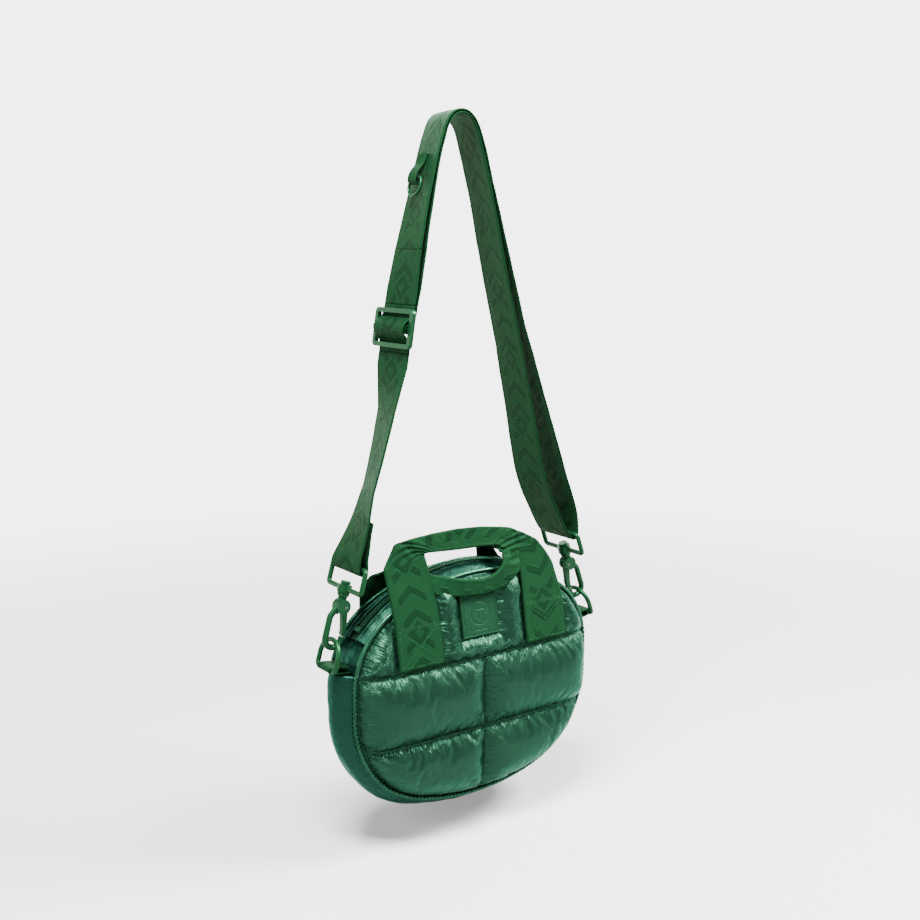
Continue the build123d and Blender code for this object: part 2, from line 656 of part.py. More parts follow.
def front_handle():
    """Two legs and the folded grip, standing up in the plane of the band."""
    outer = LEG_X + WEB_WIDTH / 2
    inner = LEG_X - WEB_WIDTH / 2
    half = [(inner, LEG_START), (outer, LEG_START), (outer, GRIP_LOW - 2), (outer - 14, GRIP_HIGH)]
    throat = [(inner - 6, GRIP_LOW), (inner, GRIP_LOW - 7)]
    right = half
    left = [(-x, up) for x, up in reversed(half)]
    under = [(-x, up) for x, up in reversed(throat)] + throat
    handle = plate(right + left + under, SEWN_GAP, HANDLE_THICK)
    grip_mid = (GRIP_LOW + GRIP_HIGH) / 2
    grip_out = SEWN_GAP + HANDLE_THICK / 2 - GRIP_THICK / 2
    return handle + on_band(0, grip_mid, grip_out, 2 * (outer - 14), GRIP_HIGH - GRIP_LOW, GRIP_THICK)


def rear_handle():
    """Legs on the back panel, folded over the zip, with the grip lying in front of the bag."""
    outer = LEG_X + WEB_WIDTH / 2
    inner = LEG_X - WEB_WIDTH / 2
    strip_outer = REAR_STRIP_INNER + REAR_STRIP_WIDTH
    handle = []
    crest = ZIP_CREST_Z
    start_y = BAND_Y - REAR_BEND * math.sin(math.radians(BAND_LEAN)) + 2.52
    route = [(start_y, REAR_BEND_Z), (13.4, crest + 5.9), (2.0, crest + 10.1), (-11.0, crest + 9.3),
             (-21.6, crest + 1.3), (-25.2, crest - 12.1)]
    path = FilletPolyline(*[(0, y, z) for y, z in route], radius=[6.0] * 4)
    start = Plane(origin=path @ 0, x_dir=(1, 0, 0), z_dir=path % 0)
    middle = REAR_STRIP_INNER + REAR_STRIP_WIDTH / 2
    for side in (-1, 1):
        leg = [(side * inner, LEG_START), (side * outer, LEG_START),
               (side * strip_outer, REAR_BEND), (side * REAR_STRIP_INNER, REAR_BEND)]
        handle.append(back(plate(leg, REAR_GAP, HANDLE_THICK)))
        handle.append(Pos(side * middle, 0, 0) * sweep(start * Rectangle(REAR_STRIP_WIDTH, 2.0), path=path))
    grip = slab(-strip_outer, strip_outer, -26.9, -23.7, crest - 20.1, crest - 4.1)
    return grip + handle


# ---------------------------------------------------------------- all nodes

def bag_nodes():
    front = {"panel": panel_skin(), "filling": panel_filling(), "piping": seam_cord(low=False),
             "binding": seam_cord(low=True)}
    nodes = {}
    for name, shape in front.items():
        nodes[f"front_{name}"] = shape
        nodes[f"back_{name}"] = back(shape)
    for name, shape in {"strip": zip_strip(), "tape": zip_tape(), "coil": zip_coil()}.items():
        nodes[f"zip_{name}_front"] = shape
        nodes[f"zip_{name}_back"] = back(shape)
    nodes |= {"lower_gusset": lower_gusset(), "gusset_ends": gusset_ends(), "lining": lining(),
              "zip_stops": Compound(children=zip_stops()), "zip_slider": zip_slider(),
              "zip_pull": zip_pull(), "leather_patch": leather_patch(), "front_handle": front_handle(),
              "rear_handle": rear_handle()}
    for side, x in (("left", -LEG_X), ("right", LEG_X)):
        nodes[f"front_handle_base_{side}"] = handle_base(x)
        nodes[f"rear_handle_base_{side}"] = back(handle_base(x))
        nodes[f"side_tab_{side}"] = side_tab(side)
        nodes[f"side_ring_{side}"] = place(side_ring(), side)
    return nodes


def strap_nodes():
    nodes = {"strap_main": band(spread(STRAP_ROUTE), WEB_WIDTH, WEB_THICK),
             "strap_return": band(spread(RETURN_ROUTE), WEB_WIDTH, WEB_THICK),
             "strap_lower": band(spread(LOWER_ROUTE), WEB_WIDTH, WEB_THICK),
             "strap_fold": strap_fold(), "strap_return_end": return_end(),
             "strap_tail_upper": tail(BEHIND_BAR, FOLD_REACH + TAIL_GAP, UPPER_TAIL_END),
             "strap_tail_lower": tail(BEHIND_BAR, -FOLD_REACH - TAIL_GAP, LOWER_TAIL_END),
             "strap_tail_return": tail(RETURN_BEHIND, FOLD_REACH + TAIL_GAP, RETURN_TAIL_END),
             "adjuster_frame": adjuster_frame(), "key_tab": key_tab(), "key_ring": key_ring()}
    for side in ("left", "right"):
        pieces = {"hook_eye": hook_eye(), "hook_body": hook_body(), "hook_gate": hook_gate(),
                  "gate_pin": gate_pin(), "gate_spring": gate_spring()}
        for name, shape in pieces.items():
            nodes[f"{side}_{name}"] = place(shape, side)
    return nodes


os.makedirs("parts", exist_ok=True)
for node, shape in (bag_nodes() | strap_nodes()).items():
    save(node, shape)
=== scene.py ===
import math

import bmesh
import bpy
import numpy as np
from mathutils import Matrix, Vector
from mathutils.geometry import delaunay_2d_cdt


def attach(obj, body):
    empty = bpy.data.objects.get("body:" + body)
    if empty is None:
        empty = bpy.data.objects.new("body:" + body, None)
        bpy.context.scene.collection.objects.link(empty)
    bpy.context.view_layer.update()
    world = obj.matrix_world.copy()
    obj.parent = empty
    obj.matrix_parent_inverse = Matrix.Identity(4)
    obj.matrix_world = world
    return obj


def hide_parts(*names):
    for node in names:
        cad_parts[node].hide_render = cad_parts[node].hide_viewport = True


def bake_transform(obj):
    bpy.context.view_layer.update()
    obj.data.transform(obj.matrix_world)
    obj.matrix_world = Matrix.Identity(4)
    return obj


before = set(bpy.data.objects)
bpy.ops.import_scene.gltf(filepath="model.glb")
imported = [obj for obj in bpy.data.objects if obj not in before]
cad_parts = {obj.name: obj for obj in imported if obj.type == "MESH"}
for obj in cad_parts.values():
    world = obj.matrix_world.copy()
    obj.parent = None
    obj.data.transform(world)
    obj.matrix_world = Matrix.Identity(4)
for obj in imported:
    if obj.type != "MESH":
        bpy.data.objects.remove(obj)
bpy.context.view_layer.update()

# Lengths are in millimetres in the bag's own frame: x across it, -y to its front, z up from its base.
# row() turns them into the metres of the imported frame, whose origin is where the strap hangs.
ORIGIN = np.array((-10.0, 0.0, 490.0))

# ---- outline of the panels
HALF_WIDTH = 101.5
TOP_Z, TOP_R = 170.0, 146.0
SHOULDER_R = 57.0
CORNER_R = 71.0
BOTTOM_Z, BOTTOM_R = 6.0, 177.0
SEAM_Y = 16.0
GUSSET_HALF = 14.2
GUSSET_INNER = -4.3             # the inner face of the gusset, measured outwards from the outline
BOOT_TOP = 112.8
SIDES = (("front", 1), ("back", -1))

# ---- quilting and the band that the handles and patch are sewn to
QUILT_HIGH, QUILT_LOW = 111.0, 58.0
RUN_STEP = 1.6
NET_STEP = 2.3
BAND_Y, BAND_Z, LEAN = 28.0, 113.0, math.radians(10.8)
LEG_X, WEB = 56.0, 38.0
CHEVRON = 17.0
PATCH_X, PATCH_UP, PATCH = -3.0, 29.5, 32.0

# ---- zip
ZIP_R = 131.0
ZIP_CENTRE = 178.1 - ZIP_R
ZIP_REACH = 47.0                # degrees to each side of the crest

# ---- adjuster and key ring
ADJUSTER = (-58.5, 348.0, math.radians(9.0))
KEY = (-34.0, 450.0, math.radians(15.0))

# ---- cloth solver
CLOTH_SCALE = 100.0             # millimetres to the solver's unit: ten times real size, which it likes
CLOTH_FRAMES = 20
MOST_SWELL = 7.0

# ---- studio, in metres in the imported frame
FLOOR_Z = -0.513
WHITE = 5.0
AWAY = (0.588, 0.809, 0.0)      # level, from the camera through the bag


# ======== numbers and shapes

def row(points):
    return (np.asarray(points, float) - ORIGIN) / 1000.0


def noise(u, v, seed):
    """Smooth noise from -1 to 1, one bump per unit."""
    table = np.random.default_rng(seed).uniform(-1, 1, (64, 64))
    u, v = np.broadcast_arrays(np.asarray(u, float), np.asarray(v, float))
    i, j = np.floor(u).astype(int), np.floor(v).astype(int)
    a, b = u - i, v - j
    a, b = a * a * (3 - 2 * a), b * b * (3 - 2 * b)
    low = table[i % 64, j % 64] * (1 - a) + table[(i + 1) % 64, j % 64] * a
    high = table[i % 64, (j + 1) % 64] * (1 - a) + table[(i + 1) % 64, (j + 1) % 64] * a
    return low * (1 - b) + high * b


def lengths(points):
    return np.concatenate([[0], np.cumsum(np.linalg.norm(np.diff(points, axis=0), axis=1))])


def resample(points, step, by=None):
    """Points spaced evenly along a line. by gives the columns that the length is measured on."""
    points = np.asarray(points, float)
    s = lengths(points if by is None else points[:, by])
    count = max(3, int(round(s[-1] / step)) + 1)
    at = np.linspace(0, s[-1], count)
    return np.stack([np.interp(at, s, column) for column in points.T], 1)


def curve(corners, step, by=None):
    """A smooth line that rounds off every corner as far as it can."""
    corners = np.asarray(corners, float)
    middles = (corners[:-1] + corners[1:]) / 2
    ends = np.concatenate([corners[:1], middles[1:-1], corners[-1:]])
    t = np.linspace(0, 1, 24, endpoint=False)[:, None]
    parts = [(1 - t) ** 2 * a + 2 * t * (1 - t) * c + t * t * b
             for a, c, b in zip(ends[:-1], corners[1:-1], ends[1:])]
    return resample(np.concatenate(parts + [corners[-1:]]), step, by)


def outline(offset=0.0, step=2.0):
    """The closed panel outline in (x, z), anticlockwise from the right side, with outward normals."""
    def arc(cx, cz, radius, start, end):
        angles = np.radians(np.linspace(start, end, 90))
        return np.stack([cx + (radius + offset) * np.cos(angles), cz + (radius + offset) * np.sin(angles)], 1)

    top_z, low_z = TOP_Z - TOP_R, BOTTOM_Z + BOTTOM_R
    sx, cx = HALF_WIDTH - SHOULDER_R, HALF_WIDTH - CORNER_R
    sz = top_z + math.sqrt((TOP_R - SHOULDER_R) ** 2 - sx ** 2)
    cz = low_z - math.sqrt((BOTTOM_R - CORNER_R) ** 2 - cx ** 2)
    high = math.degrees(math.atan2(sz - top_z, sx))
    low = math.degrees(math.atan2(low_z - cz, cx))
    parts = [arc(sx, sz, SHOULDER_R, 0, high), arc(0, top_z, TOP_R, high, 180 - high),
             arc(-sx, sz, SHOULDER_R, 180 - high, 180), arc(-cx, cz, CORNER_R, 180, 180 + low),
             arc(0, low_z, BOTTOM_R, 180 + low, 360 - low), arc(cx, cz, CORNER_R, 360 - low, 360)]
    loop = np.concatenate(parts)
    loop = resample(np.concatenate([loop, loop[:1]]), step)[:-1]
    along = unit(np.roll(loop, -1, 0) - np.roll(loop, 1, 0))
    return loop, np.stack([along[:, 1], -along[:, 0]], 1)


def open_outline(keep, step=1.0):
    """The stretch of the outline where keep is true, as one run of points with normals and lengths."""
    loop, normals = outline(0.0, step)
    chosen = keep(loop)
    start = int(np.flatnonzero(chosen & ~np.roll(chosen, 1))[0])
    order = (start + np.arange(int(chosen.sum()))) % len(loop)
    return loop[order], normals[order], lengths(loop[order])


def grid_faces(rows, cols, closed=False, caps=False):
    r = np.arange(rows - 1)[:, None] * cols
    c = np.arange(cols if closed else cols - 1)
    d = (c + 1) % cols
    quads = np.stack([r + c, r + d, r + cols + d, r + cols + c], -1).reshape(-1, 4).tolist()
    if caps:
        quads += [list(range(cols))[::-1], list(range((rows - 1) * cols, rows * cols))]
    return quads


def unit(vectors):
    return vectors / np.linalg.norm(vectors, axis=-1)[..., None]


def link(name, data):
    """A new object in the scene."""
    made = bpy.data.objects.new(name, data)
    bpy.context.scene.collection.objects.link(made)
    return made


def add(name, points, faces, material, uv=None, fix_normals=True):
    """A mesh object from points in the bag's millimetres."""
    data = bpy.data.meshes.new(name)
    data.from_pydata(row(points).tolist(), [], faces)
    if fix_normals:
        work = bmesh.new()
        work.from_mesh(data)
        bmesh.ops.recalc_face_normals(work, faces=work.faces)
        work.to_mesh(data)
        work.free()
    data.polygons.foreach_set("use_smooth", [True] * len(data.polygons))
    if uv is not None:
        corner = np.zeros(len(data.loops), int)
        data.loops.foreach_get("vertex_index", corner)
        data.uv_layers.new(name="UVMap").data.foreach_set("uv", np.asarray(uv, float)[corner].ravel())
    data.materials.append(material)
    return link(name, data)


def settle(made, body, nodes=()):
    """The piece rides its body and stands for its CAD nodes."""
    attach(made, body)
    if nodes:
        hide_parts(*nodes)
    return made


def flip(points):
    """The same points on the back of the bag."""
    return np.asarray(points) * (1, -1, 1)


def on_side(points, side):
    """Points drawn for the front, moved to the back if side is -1."""
    return points if side == 1 else flip(points)


def on_band(x, up, out):
    """A point on the upper band of the front panel."""
    x, up, out = np.broadcast_arrays(*[np.asarray(a, float) for a in (x, up, out)])
    y = -BAND_Y + up * math.sin(LEAN) - out * math.cos(LEAN)
    z = BAND_Z + up * math.cos(LEAN) + out * math.sin(LEAN)
    return np.stack([x, y, z], -1)


# ======== materials

class Tree:
    """Short calls for the nodes of a material or a world."""

    def __init__(self, owner):
        owner.use_nodes = True
        self.nodes = owner.node_tree.nodes
        self.links = owner.node_tree.links

    def plug(self, socket, value):
        if isinstance(value, bpy.types.NodeSocket):
            self.links.new(value, socket)
        else:
            socket.default_value = value

    def feed(self, node, *values):
        """Plug values into the node's first inputs, in their order."""
        for socket, value in zip(node.inputs, values):
            self.plug(socket, value)
        return node

    def math(self, operation, a, b=0.0, c=0.0):
        node = self.nodes.new("ShaderNodeMath")
        node.operation = operation
        return self.feed(node, a, b, c).outputs[0]

    def ramp(self, value, start, end, low=0.0, high=1.0, smooth=True):
        """low up to start, high from end on."""
        node = self.nodes.new("ShaderNodeMapRange")
        node.interpolation_type = "SMOOTHSTEP" if smooth else "LINEAR"
        return self.feed(node, value, start, end, low, high).outputs["Result"]

    def place(self, space):
        return self.nodes.new("ShaderNodeTexCoord").outputs[space]

    def split(self, space):
        return self.feed(self.nodes.new("ShaderNodeSeparateXYZ"), self.place(space)).outputs

    def behind(self, space, start, end, low):
        """A factor that goes from low, in front of the bag, to 1 behind it."""
        dot = self.nodes.new("ShaderNodeVectorMath")
        dot.operation = "DOT_PRODUCT"
        return self.ramp(self.feed(dot, self.place(space), AWAY).outputs["Value"], start, end, low)


class Shader(Tree):
    """A Principled material and the textures that feed it."""

    def __init__(self, name, color, metallic, roughness, **inputs):
        self.material = bpy.data.materials.new(name)
        super().__init__(self.material)
        self.main = self.nodes["Principled BSDF"]
        self.set("Base Color", (*color, 1))
        self.set("Metallic", metallic)
        self.set("Roughness", roughness)
        self.set("Specular Tint", (0.16, 0.62, 0.32, 1))
        for key, value in inputs.items():
            self.set(key.replace("_", " "), value)

    def set(self, socket, value):
        self.plug(self.main.inputs[socket], value)

    def noise(self, scale, detail=3.0, stretch=(1, 1, 1), space="Object"):
        place = self.nodes.new("ShaderNodeMapping")
        place.inputs["Scale"].default_value = stretch
        self.plug(place.inputs["Vector"], self.place(space))
        node = self.nodes.new("ShaderNodeTexNoise")
        self.plug(node.inputs["Vector"], place.outputs[0])
        node.inputs["Scale"].default_value = scale
        node.inputs["Detail"].default_value = detail
        return node.outputs[0]

    def cells(self, scale):
        node = self.nodes.new("ShaderNodeTexVoronoi")
        self.plug(node.inputs["Vector"], self.place("Object"))
        node.inputs["Scale"].default_value = scale
        return node.outputs["Distance"]

    def blend(self, factor, low, high):
        node = self.nodes.new("ShaderNodeMix")
        node.data_type = "RGBA"
        self.plug(node.inputs["Factor"], factor)
        node.inputs["A"].default_value = (*low, 1)
        node.inputs["B"].default_value = (*high, 1)
        return node.outputs["Result"]

    def color(self, factor, low, high):
        self.set("Base Color", self.blend(factor, low, high))

    def mottle(self, scale, share, color):
        """The colour, down to that share of it in cloudy spots."""
        self.color(self.noise(scale), tuple(c * share for c in color), color)

    def bump(self, height, strength, distance):
        node = self.nodes.new("ShaderNodeBump")
        node.inputs["Strength"].default_value = strength
        node.inputs["Distance"].default_value = distance
        self.plug(node.inputs["Height"], height)
        self.set("Normal", node.outputs[0])

    def roughness(self, value, low, high):
        self.set("Roughness", self.ramp(value, 0.0, 1.0, low, high, smooth=False))


def puffer(name, dark, light, roughness, gathered=False):
    """Coated nylon with a metallic sheen and a fine crinkle. The UV map of gathered fabric holds the gap to
    the nearest seam and the way along it, in millimetres."""
    s = Shader(name, light, 0.8, roughness, Specular_IOR_Level=0.2,
               Specular_Tint=(0.45, 0.78, 0.62, 1))
    s.color(s.noise(14.0), dark, light)
    s.roughness(s.noise(60.0), roughness - 0.05, roughness + 0.07)
    fine = s.math("MULTIPLY_ADD", s.noise(420.0, 4.0), 0.6, s.cells(170.0))
    if gathered:
        gap = s.split("UV")[0]
        fade = s.math("POWER", 2.718, s.math("MULTIPLY", gap, -0.2))
        folds = s.math("MULTIPLY", s.noise(1.0, 2.0, (0.11, 0.62, 1), "UV"), fade)
        fine = s.math("MULTIPLY_ADD", folds, 7.0, s.math("MULTIPLY", fine, 0.5))
    s.bump(fine, 0.5, 0.0007)
    return s.material


def webbing(name, dark, light):
    """Woven webbing with a tonal pattern of chevrons and diamonds. Its UV map is in millimetres."""
    s = Shader(name, light, 0.3, 0.5, Specular_IOR_Level=0.02)
    across, along = s.split("UV")[:2]
    middle = s.math("ABSOLUTE", s.math("SUBTRACT", across, WEB / 2))

    def within(value, start, end):
        return s.math("SUBTRACT", 1.0, s.ramp(value, start, end))

    phase = s.math("FRACT", s.math("DIVIDE", s.math("MULTIPLY_ADD", middle, 0.75, along), CHEVRON))
    chevron = s.math("SUBTRACT", s.ramp(phase, 0.16, 0.22), s.ramp(phase, 0.5, 0.56))
    cycle = s.math("FRACT", s.math("DIVIDE", along, 3 * CHEVRON))
    reach = s.math("MULTIPLY_ADD", s.math("ABSOLUTE", s.math("SUBTRACT", cycle, 0.5)), 3 * CHEVRON, middle)
    diamond = s.math("SUBTRACT", within(reach, 8.6, 9.4), within(reach, 3.6, 4.2))
    outside = s.math("SUBTRACT", 1.0, within(reach, 11.4, 12.2))
    chevron = s.math("MULTIPLY", s.math("MULTIPLY", chevron, within(middle, 11.0, 11.8)), outside)
    pattern = s.math("ADD", chevron, diamond)
    warp = s.math("SINE", s.math("MULTIPLY", across, 2 * math.pi / 1.25))
    weft = s.math("SINE", s.math("MULTIPLY", along, 2 * math.pi / 0.95))
    weave = s.math("MULTIPLY", warp, weft)
    selvage = s.ramp(middle, WEB / 2 - 3.0, WEB / 2 - 2.2)
    tone = s.math("MULTIPLY_ADD", pattern, 0.45, s.math("MULTIPLY", s.noise(30.0), 0.3))
    s.color(s.math("MULTIPLY_ADD", weave, 0.12, tone), light, dark)
    height = s.math("MULTIPLY_ADD", weave, 0.22, s.math("MULTIPLY_ADD", selvage, 0.35, pattern))
    s.bump(height, 0.75, 0.00045)
    s.roughness(s.noise(160.0), 0.42, 0.56)
    return s.material


def paint(name, color, roughness):
    """Matte green paint on cast metal."""
    s = Shader(name, color, 0.45, roughness, Specular_IOR_Level=0.25)
    s.mottle(90.0, 0.8, color)
    s.roughness(s.noise(240.0, 5.0), roughness - 0.08, roughness + 0.1)
    s.bump(s.noise(520.0, 4.0), 0.12, 0.0004)
    return s.material


def steel(name):
    s = Shader(name, (0.05, 0.06, 0.055), 1.0, 0.32)
    s.roughness(s.noise(300.0, 4.0, (1, 12, 1)), 0.25, 0.42)
    s.bump(s.noise(700.0, 3.0, (1, 10, 1)), 0.1, 0.0002)
    return s.material


def leather(name, color):
    s = Shader(name, color, 0.3, 0.46, Specular_IOR_Level=0.15)
    s.mottle(120.0, 0.7, color)
    s.bump(s.math("MULTIPLY_ADD", s.cells(900.0), 0.5, s.noise(380.0, 5.0)), 0.35, 0.0006)
    s.roughness(s.noise(200.0), 0.38, 0.56)
    return s.material


def ribbed(name, dark, light, pitch):
    """Zip tape: fine ribs across it. Its UV map is in millimetres."""
    s = Shader(name, light, 0.2, 0.55, Specular_IOR_Level=0.12)
    across, along = s.split("UV")[:2]
    ribs = s.math("SINE", s.math("MULTIPLY", along, 2 * math.pi / pitch))
    cords = s.math("SINE", s.math("MULTIPLY", across, 2 * math.pi / 1.1))
    cloth = s.math("MULTIPLY_ADD", s.math("MULTIPLY", ribs, cords), 0.5, 0.5)
    s.color(cloth, dark, light)
    s.bump(cloth, 0.7, 0.0003)
    s.roughness(s.noise(200.0), 0.48, 0.62)
    return s.material


def plastic(name, color):
    s = Shader(name, color, 0.3, 0.28, Specular_IOR_Level=0.3)
    s.mottle(300.0, 0.75, color)
    s.roughness(s.noise(500.0), 0.22, 0.36)
    return s.material


def thread(name, color):
    s = Shader(name, color, 0.3, 0.4, Specular_IOR_Level=0.15)
    s.mottle(700.0, 0.6, color)
    s.bump(s.noise(1800.0, 2.0, (1, 1, 6)), 0.5, 0.0002)
    return s.material


PUFFER = puffer("puffer_fabric", (0.0042, 0.0180, 0.0098), (0.0064, 0.0265, 0.0148), 0.32, gathered=True)
TRIM = puffer("gloss_piping", (0.0070, 0.0330, 0.0170), (0.0110, 0.0450, 0.0240), 0.28)
BINDING = puffer("binding_tape", (0.0042, 0.0210, 0.0105), (0.0075, 0.0340, 0.0180), 0.27)
GUSSET = puffer("gusset_fabric", (0.0019, 0.0130, 0.0082), (0.0036, 0.0200, 0.0130), 0.38)
STRIP = puffer("zip_strip_fabric", (0.0024, 0.0150, 0.0092), (0.0042, 0.0230, 0.0145), 0.36)
WEBBING = webbing("strap_webbing", (0.0009, 0.0056, 0.0021), (0.0026, 0.0160, 0.0058))
TAPE = ribbed("zip_tape_cloth", (0.0010, 0.0058, 0.0028), (0.0030, 0.0160, 0.0080), 0.9)
COIL = plastic("zip_coil_plastic", (0.0070, 0.0400, 0.0190))
PAINT = paint("green_paint", (0.0032, 0.0225, 0.0080), 0.36)
STEEL = steel("pin_steel")
LEATHER = leather("patch_leather", (0.0028, 0.0180, 0.0080))
THREAD = thread("green_thread", (0.0026, 0.0165, 0.0060))
THREAD_LIGHT = thread("light_thread", (0.0060, 0.0320, 0.0130))


# ======== stitches

def stitches(name, rows, material, pitch=2.6, size=(1.9, 0.52, 0.34)):
    """Rows of stitches. Each row is (points, normals), and every stitch a small rounded bar along it."""
    ring = np.radians(np.arange(0, 360, 60))
    stations = ((-0.5, 0.35), (-0.32, 0.9), (0.0, 1.0), (0.32, 0.9), (0.5, 0.35))
    bar = np.array([(t, r * math.cos(a), r * math.sin(a)) for t, r in stations for a in ring])
    bar = bar * (size[0], size[1] / 2, size[2] / 2)
    faces = grid_faces(len(stations), len(ring), closed=True, caps=True)
    points, polygons = [], []
    for line, normals in rows:
        line, normals = np.asarray(line, float), np.broadcast_to(np.asarray(normals, float), np.shape(line))
        placed = resample(np.concatenate([line, normals], 1), pitch, by=[0, 1, 2])
        centres = (placed[:-1] + placed[1:]) / 2
        along = unit(np.diff(placed[:, :3], axis=0))
        up = unit(centres[:, 3:] - along * np.sum(centres[:, 3:] * along, 1)[:, None])
        side = np.cross(up, along)
        for c, a, s, u in zip(centres[:, :3], along, side, up):
            polygons += [[i + len(bar) * len(points) for i in face] for face in faces]
            points.append(c + bar[:, :1] * a + bar[:, 1:2] * s + bar[:, 2:3] * u)
    return add(name, np.concatenate(points), polygons, material, fix_normals=False)


# ======== padded panels

def seam_runs():
    """The lines that hold the padding down: the outline and the quilting, as (x, z) with their lengths."""
    edge, _ = outline(0.0, RUN_STEP)
    edge = np.concatenate([edge, edge[:1]])
    half_high = np.interp(QUILT_HIGH, [101, 113], [101.4, 100.2])
    runs = [edge]
    for z, half in ((QUILT_HIGH, half_high), (QUILT_LOW, 97.6)):
        runs.append(resample([(-half, z), (half, z)], RUN_STEP))
    runs.append(resample([(0, BOTTOM_Z), (0, QUILT_HIGH)], RUN_STEP))
    return runs


def sewn_boxes():
    """What is sewn flat on the upper band: (x low, x high, z low, z high)."""
    boxes = [(x - WEB / 2, x + WEB / 2, BAND_Z, BAND_Z + 31) for x in (-LEG_X, LEG_X)]
    z = BAND_Z + PATCH_UP * math.cos(LEAN)
    boxes.append((PATCH_X - PATCH / 2, PATCH_X + PATCH / 2, z - PATCH / 2, z + PATCH / 2))
    return boxes


def nearest(points, lines):
    """For each point the distance to the nearest seam and a coordinate along it, a few thousand at a time."""
    chunk, apart = 4000, 331.0
    best = np.full(len(points), 1e9)
    along = np.zeros(len(points))
    for number, line in enumerate(lines):
        s = lengths(line) + apart * number
        for start in range(0, len(points), chunk):
            part = slice(start, start + chunk)
            gap = np.linalg.norm(points[part, None, :] - line[None], axis=2)
            near = gap.argmin(1)
            distance = gap[np.arange(len(near)), near]
            closer = distance < best[part]
            best[part] = np.where(closer, distance, best[part])
            along[part] = np.where(closer, s[near], along[part])
    return best, along


def box_line(box):
    a, b, c, d = box
    return resample([(a, c), (b, c), (b, d), (a, d), (a, c)], RUN_STEP)


def seam_depth(points, edge_gap):
    """How far in front of the bag's middle the fabric is held where it is sewn."""
    depth = SEAM_Y + 11.4 * (1 - np.exp(-edge_gap / 9.0))
    band = BAND_Y - (points[:, 1] - BAND_Z) * math.tan(LEAN)
    return np.minimum(depth, np.where(points[:, 1] > BAND_Z - 2, band, 99))


def panel_mesh():
    """A triangle net over the outline whose edges run along every seam."""
    runs = seam_runs()
    edge = runs[0][:-1]
    fixed = [edge] + [run[1:-1] for run in runs[1:]]
    points = [tuple(p) for p in np.concatenate(fixed)]
    grid = np.array([(x + (k % 2) * NET_STEP / 2, z)
                     for k, z in enumerate(np.arange(4, 172, NET_STEP * 0.866))
                     for x in np.arange(-103, 104, NET_STEP)])
    grid = grid + np.random.default_rng(5).uniform(-0.35, 0.35, grid.shape)
    gap, _ = nearest(grid, runs)
    points += [tuple(p) for p in grid[gap > 1.3]]
    edges = [(i, (i + 1) % len(edge)) for i in range(len(edge))]
    made = delaunay_2d_cdt([Vector(p) for p in points], edges, [list(range(len(edge)))], 1, 1e-4)
    return np.array([tuple(v) for v in made[0]]), [list(f) for f in made[2]]


def inflate(shape, faces, held):
    """Blow the fabric out between its seams."""
    flat = shape[:, [0, 2]]
    data = bpy.data.meshes.new("inflating")
    data.from_pydata((shape / CLOTH_SCALE).tolist(), [], faces)
    cloth = link("inflating", data)
    pins = cloth.vertex_groups.new(name="held")
    pins.add([int(i) for i in np.flatnonzero(held)], 1.0, "REPLACE")
    slack = cloth.vertex_groups.new(name="slack")
    gap, _ = nearest(flat, seam_runs() + [box_line(b) for b in sewn_boxes()])
    for i, weight in enumerate(np.exp(-gap / 7.0)):
        slack.add([i], float(weight), "REPLACE")
    modifier = cloth.modifiers.new("Cloth", "CLOTH")
    settings = modifier.settings
    for key, value in (("quality", 6), ("mass", 0.2), ("tension_stiffness", 18),
                       ("compression_stiffness", 18), ("shear_stiffness", 6), ("bending_stiffness", 0.06),
                       ("tension_damping", 12), ("compression_damping", 12), ("air_damping", 3)):
        setattr(settings, key, value)
    settings.vertex_group_mass = "held"
    settings.pin_stiffness = 1.0
    settings.vertex_group_shrink = "slack"
    settings.shrink_min = -0.02
    settings.shrink_max = -0.13
    settings.use_pressure = True
    settings.uniform_pressure_force = 5.5
    settings.effector_weights.gravity = 0.0
    modifier.collision_settings.use_collision = False
    modifier.point_cache.frame_start = 1
    modifier.point_cache.frame_end = CLOTH_FRAMES
    scene = bpy.context.scene
    for number in range(1, CLOTH_FRAMES + 1):
        scene.frame_set(number)
    shaped = cloth.evaluated_get(bpy.context.evaluated_depsgraph_get()).to_mesh()
    result = np.zeros(len(shaped.vertices) * 3)
    shaped.vertices.foreach_get("co", result)
    scene.frame_set(1)
    bpy.data.objects.remove(cloth)
    return result.reshape(-1, 3) * CLOTH_SCALE


def panel(name, side, seed, nodes):
    """One padded panel; side is 1 for the front and -1 for the back, which has no patch."""
    flat, faces = panel_mesh()
    runs = seam_runs()
    boxes = sewn_boxes() if side == 1 else sewn_boxes()[:2]
    seams = runs + [box_line(b) for b in boxes]
    edge_gap, _ = nearest(flat, runs[:1])
    gap, _ = nearest(flat, seams)
    under = np.zeros(len(flat), bool)
    for a, b, c, d in boxes:
        under |= (flat[:, 0] > a - 0.5) & (flat[:, 0] < b + 0.5) & (flat[:, 1] > c) & (flat[:, 1] < d)
    depth = seam_depth(flat, edge_gap) - 0.3
    start = depth + np.where(under, 0, 8.6 * (1 - np.exp(-gap / 9.0)))
    start += 0.25 * noise(flat[:, 0] / 5.0, flat[:, 1] / 5.0, seed) * ~under
    runs_gap, _ = nearest(flat, runs)
    held = (runs_gap < 0.4) | under
    shape = np.stack([flat[:, 0], -start, flat[:, 1]], 1)
    moved = inflate(shape, faces, held) - shape
    size = np.linalg.norm(moved, axis=1)[:, None]
    shape = shape + moved * np.minimum(1, MOST_SWELL / np.maximum(size, 1e-6))
    shape = pucker(shape, under, seams, seed)
    uv = np.stack(nearest(shape[:, [0, 2]], seams), 1)
    made = add(name, on_side(shape, side), faces, PUFFER, uv, fix_normals=False)
    orient(made, -side)
    subdivide(made)
    return settle(made, "bag", nodes)


